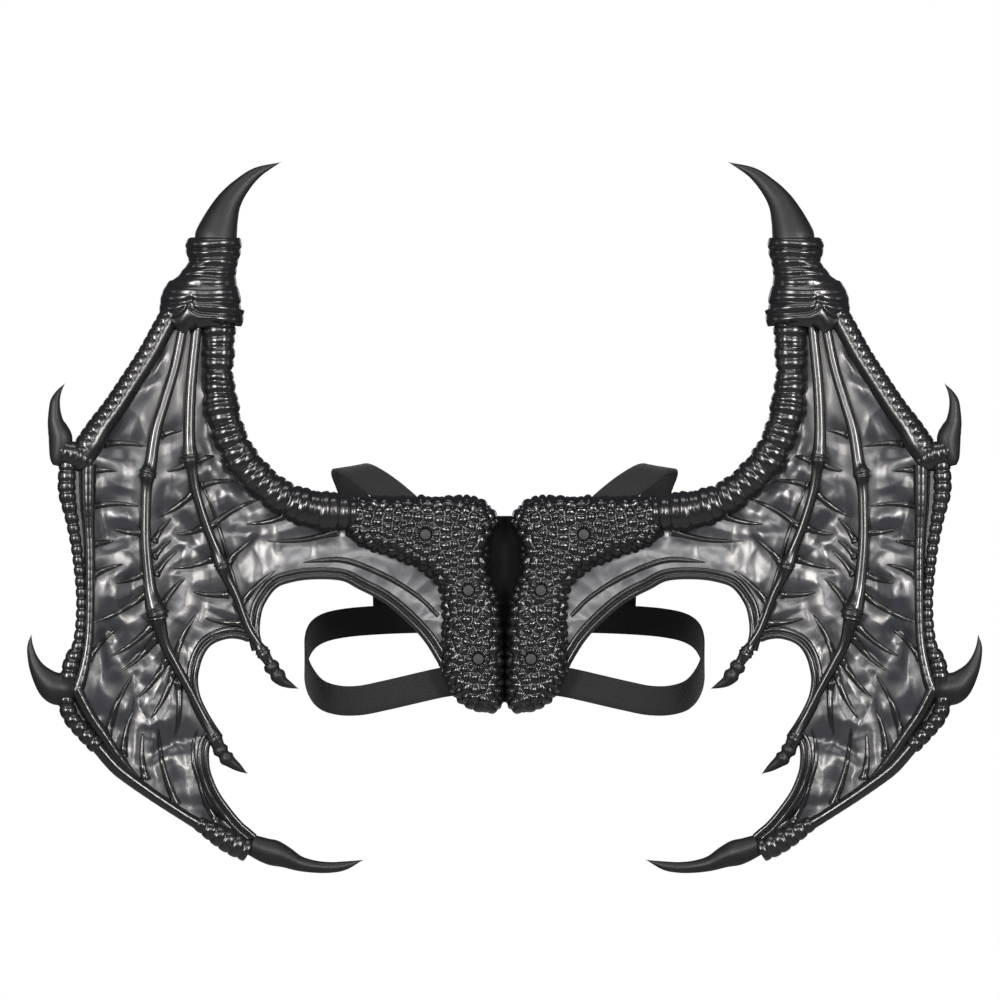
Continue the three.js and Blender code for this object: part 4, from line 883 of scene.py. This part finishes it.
def waves(points, size, seed, count=18):
    """Random smooth dents of about one size; the seed is fixed, so each run gives the same ones."""
    chance = np.random.default_rng(seed)
    turn, start = chance.uniform(0, 2 * math.pi, (2, count))
    rate = 2 * math.pi / size * chance.uniform(0.65, 1.35, count)
    way = points[:, :1] * np.cos(turn) + points[:, 1:] * np.sin(turn)
    return np.sin(way * rate + start).sum(axis=1) / math.sqrt(count / 2)


def crumple(points):
    warped = points + 0.007 * np.column_stack([waves(points, 0.06, 11), waves(points, 0.06, 12)])
    return sum(depth * waves(warped, size, seed) for depth, size, seed in DENTS)


def skin_front(points):
    away = from_nearest(points, holders)
    free = smoothstep(away, 0, BILLOW_REACH)
    loose = smoothstep(away, 0.002, 0.016)
    fold = np.zeros(len(points))
    for row in FOLDS:
        ends = flat_place([row[:2], row[2:4]])
        fold = np.maximum(fold, row[4] * FOLD_HEIGHT * np.exp(-(distance_to(points, ends) / FOLD_WIDTH) ** 2))
    dip = DIP_DEPTH * vein_pull(points, DIP_WIDTH) + PILLOW_DEPTH * vein_pull(points, PILLOW_WIDTH)
    calm = CALM_SHARE + (1 - CALM_SHARE) * smoothstep(-points[:, 0] / HALF_SPAN, *CALM_TO)
    return middle_of(points) + free * (BILLOW - fold) * calm + loose * crumple(points) * calm + dip - WALL / 2


def skin_back(points):
    return middle_of(points) + WALL / 2


points, faces, front, front_flat = slab(outline, skin_front, skin_back, 0.00125, 0.008)
print("skin points", len(points), "deepest", round(float(points[:, 1].min()) * 1000, 1), "mm")

# %% [markdown]
# A ridge is a curve that carries its own radius, and one tree sweeps a round section along them all.


# %% Helpers for ridges
def curve_data(name, lines):
    """Curves from (points, radii) pairs."""
    data = bpy.data.curves.new(name, "CURVE")
    data.dimensions = "3D"
    for points, radii in lines:
        line = data.splines.new("POLY")
        line.points.add(len(points) - 1)
        line.points.foreach_set("co", np.column_stack([points, np.ones(len(points))]).ravel())
        line.points.foreach_set("radius", np.asarray(radii, np.float32))
    return data


def on_skin(flat, sink):
    """Points on the skin's face, sunk by a distance for each."""
    return np.column_stack([flat[:, 0], skin_front(flat) + sink, flat[:, 1]])


# %% Geometry Nodes: a round bead along curves
bead_tree, inputs = start_tree("bead along a curve", Sides=12.0)
circle = add_node(bead_tree, "GeometryNodeCurvePrimitiveCircle", {"Resolution": inputs["Sides"], "Radius": 1.0})
radius = add_node(bead_tree, "GeometryNodeInputRadius").outputs[0]
swept = add_node(bead_tree, "GeometryNodeCurveToMesh", {
    "Curve": inputs["Geometry"], "Profile Curve": circle.outputs["Curve"], "Scale": radius, "Fill Caps": True,
})
end_tree(bead_tree, swept.outputs[0], inputs)

# %% Veins
vein_lines = []
for row in VEINS:
    flat, share = vein_line(row, 24)
    radius = VEIN_RADIUS * (0.1 + 0.9 * (1 - np.clip(share, 0, 1)) ** 0.55) * (1 + 0.3 * np.exp(-(share / 0.06) ** 2))
    vein_lines.append((on_skin(flat, -0.0005), radius))
both_sides("raised_veins", grown(bead_tree, curve_data("veins", vein_lines), bone_finish), bone_finish, "bone_foam")

# %% [markdown]
# Along each scallop the edge is rolled into a bead, with a second bead just inside it. The long
# scallop beside the pad has a third ridge further in, the lowest one too, and a thin tendon runs down
# beside the inner ray.

# %% Rims of the scallops
INNER_RIDGE = [
    [0.43, 0.437, 0.1], [0.385, 0.4405, 0.8], [0.339, 0.4405, 1.0], [0.29, 0.43, 1.0], [0.23, 0.4105, 0.9],
    [0.177, 0.3865, 0.8], [0.14, 0.362, 0.7],
]
LOWER_RIDGE = [
    [0.643, 0.2085, 0.1], [0.6535, 0.185, 0.7], [0.6535, 0.158, 0.8], [0.643, 0.132, 0.8], [0.6286, 0.101, 0.7],
    [0.605, 0.076, 0.2],
]
TENDON = [[0.635, 0.549, 0.5], [0.6, 0.486, 0.8], [0.58, 0.4384, 0.85], [0.556, 0.385, 0.85], [0.5174, 0.329, 0.8]]


def inset(line, distance):
    way = np.gradient(line, axis=0)
    way /= np.linalg.norm(way, axis=1, keepdims=True)
    return line + np.stack([-way[:, 1], way[:, 0]], axis=1) * distance


rim_lines = []
for line in scallops:
    for distance, radius, sink in ((0.0019, 0.0026, 0.0006), (0.0069, 0.0023, 0.0002)):
        flat = inset(line, distance)
        rim_lines.append((on_skin(flat, sink), np.full(len(flat), radius)))
for table, radius, sink in ((INNER_RIDGE, 0.0026, 0.0006), (LOWER_RIDGE, 0.0026, 0.0006), (TENDON, 0.002, 0.0)):
    rows = np.column_stack([flat_place(table), np.zeros(len(table)), np.array(table)[:, 2] * radius])
    line = spline(rows, 0.002)[0]
    rim_lines.append((on_skin(line[:, :2], sink), line[:, 3]))
both_sides("rolled_rims", grown(bead_tree, curve_data("rims", rim_lines), bone_finish), bone_finish, "bone_foam")

# %% [markdown]
# Over its dents the skin has finer creases: low ridges with sharp tops that meet at odd angles. Folding
# a noise at its middle value gives such ridges. Near a bone the skin is stiff and lies still.

# %% Geometry Nodes: creases of the skin
crease_tree, inputs = start_tree(
    "creases of the skin", Broad=0.036, Broad_Depth=0.0006, Small=0.016, Small_Depth=0.00006,
)
mask = add_node(crease_tree, "GeometryNodeInputNamedAttribute", {"Name": "free"}, data_type="FLOAT").outputs[0]
where = add_node(crease_tree, "GeometryNodeInputPosition").outputs[0]
offsets = []
for size, depth, seed in (("Broad", "Broad Depth", 3.0), ("Small", "Small Depth", 8.0)):
    scale = add_node(crease_tree, "ShaderNodeMath", {0: 1.0, 1: inputs[size]}, operation="DIVIDE")
    noise = add_node(crease_tree, "ShaderNodeTexNoise", {
        "Vector": where, "W": seed, "Scale": scale.outputs[0], "Detail": 1.0, "Distortion": 0.8,
    }, noise_dimensions="4D")
    centred = add_node(crease_tree, "ShaderNodeMath", {0: noise.outputs["Fac"], 1: 0.5}, operation="SUBTRACT")
    ridged = add_node(crease_tree, "ShaderNodeMath", {0: centred.outputs[0]}, operation="ABSOLUTE")
    offsets.append(add_node(crease_tree, "ShaderNodeMath", {
        0: ridged.outputs[0], 1: inputs[depth],
    }, operation="MULTIPLY"))
total = add_node(crease_tree, "ShaderNodeMath", {0: offsets[0].outputs[0], 1: offsets[1].outputs[0]}, operation="ADD")
scaled = add_node(crease_tree, "ShaderNodeMath", {0: total.outputs[0], 1: 6.0}, operation="MULTIPLY")
masked = add_node(crease_tree, "ShaderNodeMath", {0: scaled.outputs[0], 1: mask}, operation="MULTIPLY")
offset = add_node(crease_tree, "ShaderNodeCombineXYZ", {"Y": masked.outputs[0]})
moved = add_node(crease_tree, "GeometryNodeSetPosition", {"Geometry": inputs["Geometry"], "Offset": offset.outputs[0]})
end_tree(crease_tree, moved.outputs[0], inputs)

# %% Wing skin: the sheet with its relief
free = np.zeros(len(points))
free[:len(front_flat)] = smoothstep(from_nearest(front_flat, holders), 0.003, 0.014)
# painted shade: a mask beside the veins, which the skin's finish turns nearly black
painted_hollow_shade = np.zeros(len(points))
painted_hollow_shade[:len(front_flat)] = vein_pull(front_flat, 0.0042)
# painted shade along the bones as well, a little weaker
edge = np.exp(-(from_nearest(front_flat, holders[:7]) / 0.0085) ** 2)
painted_hollow_shade[:len(front_flat)] = np.maximum(painted_hollow_shade[:len(front_flat)], 0.9 * edge)
sheet = grown(crease_tree, new_mesh("sheet", points, faces, {"free": free, "painted_hollow_shade": painted_hollow_shade}), skin_finish)
both_sides("wing_skin", sheet, skin_finish, "skin_foam", "membrane")

# %% [markdown]
# The pad at the spine is a thick block of the same foam, cast with a hide of round pebbles. Its crown is
# a quarter round along the rim. The block comes first, with a face fine enough to carry the pebbles.

# %% Scale pad: the block
PAD_RISE = 0.025
PAD_EDGE = 0.009
PAD_ROUND = 0.017
PAD_BACK = -0.0052
PAD_OUTLINE = [
    [0.335, 0.511], [0.3076, 0.529], [0.2195, 0.5294], [0.1355, 0.5294], [0.0705, 0.529], [0.0453, 0.5224],
    [0.0264, 0.5112], [0.014, 0.494], [0.022, 0.485], [0.0306, 0.465], [0.0327, 0.438], [0.0264, 0.412],
    [0.0118, 0.385], [0.0076, 0.353], [0.005, 0.3], [0.0045, 0.25], [0.012, 0.232], [0.0453, 0.2269],
    [0.0862, 0.238], [0.1146, 0.259], [0.1313, 0.283], [0.1345, 0.312], [0.1324, 0.34], [0.1324, 0.367],
    [0.1385, 0.4], [0.163, 0.42], [0.194, 0.433], [0.247, 0.447], [0.3076, 0.461], [0.335, 0.479],
]
RIVETS = [[0.1666, 0.477], [0.0762, 0.3985], [0.0554, 0.302]]
CAP_RADIUS = 0.0043
SPACING = 0.0057
pad_outline = evenly(smooth_line(PAD_OUTLINE + PAD_OUTLINE[:1], 0.001), 0.0009)


def pad_front(points):
    """The crown, sunk where a rivet's cap sits."""
    inward = np.clip(distance_to(points, pad_outline, closed=True) / PAD_ROUND, 0, 1)
    crown = PAD_BACK - PAD_EDGE - (PAD_RISE - PAD_EDGE) * np.sqrt(1 - (1 - inward) ** 2)
    for seat in flat_place(RIVETS):
        away = np.linalg.norm(points - seat, axis=1)
        crown += 0.0016 * (1 - smoothstep(away, CAP_RADIUS + 0.0001, CAP_RADIUS + 0.0009))
    return crown


points, faces, front, _ = slab(pad_outline, pad_front, lambda flat: np.full(len(flat), PAD_BACK), 0.00065, 0.006)
print("pad points", len(points))

# %% [markdown]
# Every pebble has a seed. Places are tried at random, and one is kept when it lies far enough from all
# the others, which packs them unevenly but never too close. A ring of seeds lies round each cap. A point
# of the face belongs to its nearest seed, and a crease runs where two seeds are equally near, as in a
# Voronoi pattern. So the nearest distance divided by the next one is 0 on a pebble's top and 1 in a crease.

# %% Scale pad: seeds and creases
TRIES = 16000
RIVET_RING = 0.0071
chance = np.random.default_rng(7)
low, high = pad_outline.min(axis=0) - SPACING, pad_outline.max(axis=0) + SPACING
seeds = np.empty((0, 2))
for seat, count in zip(flat_place(RIVETS), (11, 10, 10)):
    turn = (np.arange(count) + chance.uniform(-0.12, 0.12, count)) / count * 2 * math.pi
    seeds = np.vstack([seeds, [seat], seat + RIVET_RING * np.column_stack([np.cos(turn), np.sin(turn)])])
for place_tried in chance.uniform(low, high, (TRIES, 2)):
    if np.linalg.norm(seeds - place_tried, axis=1).min() > SPACING:
        seeds = np.vstack([seeds, place_tried])
tree_of_seeds = KDTree(len(seeds))
for n, seed in enumerate(seeds):
    tree_of_seeds.insert((*seed, 0), n)
tree_of_seeds.balance()
crease = np.zeros(len(points))
for n, (x, z) in enumerate(points[:, [0, 2]]):
    (_, _, near), (_, _, far) = tree_of_seeds.find_n((x, z, 0), 2)
    crease[n] = near / far
print("pebbles", len(seeds))

# %% [markdown]
# The tree bends that share into a dome. The higher its power, the flatter the top. Round the caps the
# pebbles fade, so that each cap has a clean seat.

# %% Geometry Nodes: pebbles on a hide
pebble_tree, inputs = start_tree("pebbles on a hide", Height=0.0024, Power=1.45)
mask = add_node(pebble_tree, "GeometryNodeInputNamedAttribute", {"Name": "front"}, data_type="FLOAT").outputs[0]
share = add_node(pebble_tree, "GeometryNodeInputNamedAttribute", {"Name": "crease"}, data_type="FLOAT").outputs[0]
normal = add_node(pebble_tree, "GeometryNodeInputNormal").outputs[0]
fall = add_node(pebble_tree, "ShaderNodeMath", {0: share, 1: inputs["Power"]}, operation="POWER")
dome = add_node(pebble_tree, "ShaderNodeMath", {0: 1.0, 1: fall.outputs[0]}, operation="SUBTRACT")
lift = add_node(pebble_tree, "ShaderNodeMath", {0: dome.outputs[0], 1: inputs["Height"]}, operation="MULTIPLY")
masked = add_node(pebble_tree, "ShaderNodeMath", {0: lift.outputs[0], 1: mask}, operation="MULTIPLY")
offset = add_node(pebble_tree, "ShaderNodeVectorMath", {
    "Vector": normal, "Scale": masked.outputs[0],
}, operation="SCALE")
moved = add_node(pebble_tree, "GeometryNodeSetPosition", {"Geometry": inputs["Geometry"], "Offset": offset.outputs[0]})
end_tree(pebble_tree, moved.outputs[0], inputs)
seated = np.ones(len(points))
for seat in flat_place(RIVETS):
    away = np.linalg.norm(points[:, [0, 2]] - seat, axis=1)
    seated = np.minimum(seated, smoothstep(away, CAP_RADIUS + 0.0003, CAP_RADIUS + 0.0008))
pad_mesh = grown(pebble_tree, new_mesh("pad", points, faces, {"front": front * seated, "crease": crease}), pad_finish)
both_sides("pebbled_pad", pad_mesh, pad_finish, "pad_foam", "scale_pad")

# %% [markdown]
# Six flat caps hold the pads to the plate. One cap is turned on its axis from a profile of radius and
# depth, with a rounded edge, and a tree sets a copy of it on each seat. The plate keeps the solid of the
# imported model, whose shape is right.

# %% Geometry Nodes: caps on their seats
CAP_TOP = -0.0317
CAP_PROFILE = [
    [0.0, -0.0003], [0.002, -0.0003], [0.002, CAP_TOP + 0.0024], [0.0039, CAP_TOP + 0.0024],
    [0.0043, CAP_TOP + 0.002], [0.0043, CAP_TOP + 0.0005], [0.00415, CAP_TOP + 0.00015], [0.0038, CAP_TOP],
    [0.0, CAP_TOP - 0.0001],
]
CAP_SIDES = 40
turn = np.arange(CAP_SIDES) / CAP_SIDES * 2 * math.pi
cap_points = []
for radius, depth in CAP_PROFILE:
    radius = max(radius, 0.00001)
    cap_points += [[radius * math.cos(a), depth, radius * math.sin(a)] for a in turn]
cap = bpy.data.objects.new("one_cap", new_mesh("one_cap", cap_points, ring_faces(len(CAP_PROFILE), CAP_SIDES)))
cap_tree, inputs = start_tree("caps on their seats", Size=1.0)
one = add_node(cap_tree, "GeometryNodeObjectInfo", {"Object": cap})
set_on = add_node(cap_tree, "GeometryNodeInstanceOnPoints", {
    "Points": inputs["Geometry"], "Instance": one.outputs["Geometry"], "Scale": inputs["Size"],
})
end_tree(cap_tree, set_on.outputs[0], inputs)
seats = flat_place(RIVETS)
seat_points = new_mesh("seats", np.column_stack([seats[:, 0], np.zeros(3), seats[:, 1]]), [])
caps_mesh = grown(cap_tree, seat_points, rivet_finish)
bpy.data.objects.remove(cap)
both_sides("rivet_caps", caps_mesh, rivet_finish, "rivet_cap", "rivet_1", "rivet_2", "rivet_3")

# %% Back plate
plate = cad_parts["back_plate"]
plate.data.materials.clear()
plate.data.materials.append(plate_finish)

# %% [markdown]
# The straps are flat webbing, so they are modelled directly: a thin section is carried along the path
# with its face turned to the body. Cloth simulation would only wrinkle what is held tight. The band's
# table gives half a loop as shares of the chest's half width, its depth and the band's climb. The strap's
# table gives shares of its reach, the chest's depth and its top, and which way its face points in degrees.

# %% Webbing
WEBBING = 0.024
WEBBING_THICK = 0.0016
LAYER = -0.0041
TORSO_HALF = 0.163
TORSO_DEPTH = 0.222
BAND_SEAT = -0.06
BAND_TRAVEL = 0.05
SHOULDER_OUT = 0.128
SHOULDER_TOP = 0.11
BAND_LOOP = [
    [0, 0, 0], [0.15, 0, 0], [0.29, 0, -0.05], [0.38, 0.005, -0.11], [0.47, 0.018, -0.18], [0.6, 0.045, -0.28],
    [0.72, 0.085, -0.36], [0.83, 0.145, -0.36], [0.92, 0.225, -0.26], [0.98, 0.33, 0], [1, 0.45, 0.32],
    [0.98, 0.58, 0.6], [0.92, 0.7, 0.76], [0.81, 0.81, 0.84], [0.65, 0.9, 0.88], [0.45, 0.965, 0.9],
    [0.22, 0.995, 0.9], [0, 1, 0.9],
]
STRAP_LOOP = [
    [0.575, 0, 0.665, 0], [0.62, 0, 0.715, 0], [0.69, 0.002, 0.785, 2], [0.8, 0.03, 0.885, 25],
    [0.9, 0.08, 0.965, 48], [0.97, 0.14, 1.0, 72], [1.0, 0.21, 1.0, 96], [1.01, 0.33, 0.96, 118],
    [0.98, 0.48, 0.85, 134], [0.93, 0.64, 0.64, 148], [0.86, 0.8, 0.38, 158],
]
STRAP_END = 0.395


def ribbon(name, centre, facing, closed):
    """Webbing along a path with its face square to facing, and a UV map in metres."""
    if closed:
        tangent = np.roll(centre, -1, axis=0) - np.roll(centre, 1, axis=0)
    else:
        tangent = np.gradient(centre, axis=0)
    tangent /= np.linalg.norm(tangent, axis=1, keepdims=True)
    across = np.cross(tangent, facing)
    across /= np.linalg.norm(across, axis=1, keepdims=True)
    out = np.cross(across, tangent)
    half, thick = WEBBING / 2, WEBBING_THICK / 2
    section = np.array([[-1, 0.3], [-0.97, 1], [-0.5, 1], [0, 1], [0.5, 1], [0.97, 1], [1, 0.3],
                        [1, -0.3], [0.97, -1], [0.5, -1], [0, -1], [-0.5, -1], [-0.97, -1], [-1, -0.3]])
    points = (centre[:, None] + across[:, None] * section[None, :, :1] * half
              + out[:, None] * section[None, :, 1:] * thick).reshape(-1, 3)
    sides, rings = len(section), len(centre)
    mesh = new_mesh(name, points, ring_faces(rings, sides, closed))
    steps = np.linalg.norm(np.diff(centre, axis=0), axis=1)
    length = np.concatenate([[0], np.cumsum(steps)])
    total = length[-1] + (np.linalg.norm(centre[0] - centre[-1]) if closed else 0)
    layer = mesh.uv_layers.new(name="webbing")
    for face in mesh.polygons:
        rows = [n // sides for n in face.vertices]
        wraps = closed and max(rows) == rings - 1 and min(rows) == 0
        for loop, n in zip(face.loop_indices, face.vertices):
            along = total if wraps and n // sides == 0 else length[n // sides]
            layer.data[loop].uv = (section[n % sides][0] * half, along)
    return mesh, total


half_band = np.array(BAND_LOOP)
half_band = np.column_stack([
    -half_band[:, 0] * TORSO_HALF, LAYER + half_band[:, 1] * TORSO_DEPTH, BAND_SEAT + half_band[:, 2] * BAND_TRAVEL,
])
whole = np.vstack([half_band, half_band[1:-1][::-1] * [-1, 1, 1]])
looped = spline(np.vstack([whole[-2:], whole, whole[:3]]), 0.004)[0]
start = np.argmin(np.linalg.norm(looped[:40] - whole[0], axis=1))
stop = len(looped) - 40 + np.argmin(np.linalg.norm(looped[-40:] - whole[0], axis=1))
band = looped[start:stop]
around = np.roll(band, -1, axis=0) - np.roll(band, 1, axis=0)
band_facing = np.cross([0.0, 0.0, 1.0], around)
band_facing /= np.linalg.norm(band_facing, axis=1, keepdims=True)
mesh, band_length = ribbon("band", band, band_facing, True)
chest = add_piece("chest_webbing", mesh, webbing_finish, "webbing", "chest_band")
print("chest band", round(band_length * 1000), "mm")

# %% Shoulder straps
seat = int(STRAP_END * len(band))
seat_up = np.cross(around[seat] / np.linalg.norm(around[seat]), band_facing[seat])
over = band[seat] + band_facing[seat] * (WEBBING_THICK + 0.0006)
ends = np.array([over + seat_up * share * WEBBING for share in (1.6, 0.8, 0, -0.5)])
worn = np.array(STRAP_LOOP)
turn = np.radians(worn[:, 3])
facings = np.column_stack([-0.15 * np.sin(turn), -np.cos(turn), np.sin(turn)])
worn = np.column_stack([-worn[:, 0] * SHOULDER_OUT, LAYER + worn[:, 1] * TORSO_DEPTH, worn[:, 2] * SHOULDER_TOP])
rows = np.column_stack([np.vstack([worn, ends]), np.vstack([facings, np.tile(band_facing[seat], (4, 1))])])
rows, _ = spline(rows, 0.004)
left_strap, strap_length = ribbon("strap", rows[:, :3], rows[:, 3:], False)
straps = both_sides("shoulder_webbing", left_strap, webbing_finish, "webbing", "shoulder_strap")
print("shoulder strap", round(strap_length * 1000), "mm")

# %% [markdown]
# Webbing that is pulled tight is a sheet of cloth held stretched, and the wings are moulded foam, which is
# neither cloth nor stuffed.

# %% [markdown]
# A plain studio: a pale floor, a surround that the camera sees as white but that gives little light, and
# pairs of soft lights. Black gloss shows little but the lights it mirrors, so their place and size draw the
# forms: the small key gives each ring its hot spot, the tall wall fills the skin with clouds, the strip
# draws the outer edges, and the back pair shows the side that the wearer hides.

# %% Floor, light and camera
floor = new_mesh("floor", [[-1.5, -1.5, -1.0], [1.5, -1.5, -1.0], [1.5, 1.5, -1.0], [-1.5, 1.5, -1.0]], [[0, 1, 2, 3]])
floor_finish, tree, shader, where = start_finish("Pale studio floor", Base_Color=linear("#dcdcdc"), Roughness=0.9)
floor.materials.append(floor_finish)
floor_piece = bpy.data.objects.new("floor", floor)
bpy.context.scene.collection.objects.link(floor_piece)

world = bpy.data.worlds.new("studio")
bpy.context.scene.world = world
world.use_nodes = True
tree = world.node_tree
tree.nodes.clear()
path = add_node(tree, "ShaderNodeLightPath").outputs["Is Camera Ray"]
seen = add_node(tree, "ShaderNodeBackground", {"Color": linear("#ffffff"), "Strength": 1.0})
lighting = add_node(tree, "ShaderNodeBackground", {"Color": linear("#dce4ff"), "Strength": 0.12})
mixed = add_node(tree, "ShaderNodeMixShader", {0: path, 1: lighting.outputs[0], 2: seen.outputs[0]})
add_node(tree, "ShaderNodeOutputWorld", {"Surface": mixed.outputs[0]})


def add_light(name, place_at, aim, width, height, power, tint):
    lamp = bpy.data.lights.new(name, "AREA")
    lamp.shape = "RECTANGLE"
    lamp.size = width
    lamp.size_y = height
    lamp.energy = power
    lamp.color = linear(tint)[:3]
    light = bpy.data.objects.new(name, lamp)
    light.location = place_at
    way = np.asarray(aim, float) - np.asarray(place_at, float)
    light.rotation_euler = Vector(way).to_track_quat("-Z", "Y").to_euler()
    bpy.context.scene.collection.objects.link(light)
    return light


def softbox(name, turn, distance, rise, width, height, brightness, tint, spread=180, aim=0.0):
    """A pair of soft lights, turned left and right of the camera by an angle; brightness is what is seen in it."""
    for side in (-1, 1):
        at = (side * distance * math.sin(math.radians(turn)), -distance * math.cos(math.radians(turn)), rise)
        power = brightness * math.pi * width * height
        light = add_light(f"{name} {side}", at, (side * aim, 0, 0.08), width, height, power, tint)
        light.data.spread = math.radians(spread)


softbox("key", 6, 3.2, 0.75, 0.26, 0.26, 75, "#ffffff")
softbox("wall", 30, 3.0, 0.5, 0.6, 1.1, 4.4, "#fffaf6", spread=50, aim=0.32)
softbox("strip", 66, 2.4, 0.2, 0.3, 1.2, 4, "#ffffff")
softbox("back", 148, 3.0, 0.6, 0.8, 1.2, 3.0, "#ffffff")
add_light("overhead", (0, -1.0, 2.0), (0, 0, 0.1), 1.8, 0.5, 20, "#ffffff")
bpy.context.scene.view_settings.view_transform = "Standard"

camera_data = bpy.data.cameras.new("camera")
camera_data.sensor_width = 36
DISTANCE = 6.0
camera_data.lens = 36 * DISTANCE / 0.8
camera = bpy.data.objects.new("camera", camera_data)
camera.location = (-0.0037, -0.045 - DISTANCE, 0.084)
camera.rotation_euler = (math.pi / 2, 0, 0)
bpy.context.scene.collection.objects.link(camera)
bpy.context.scene.camera = camera
print("lens", round(camera_data.lens), "mm")
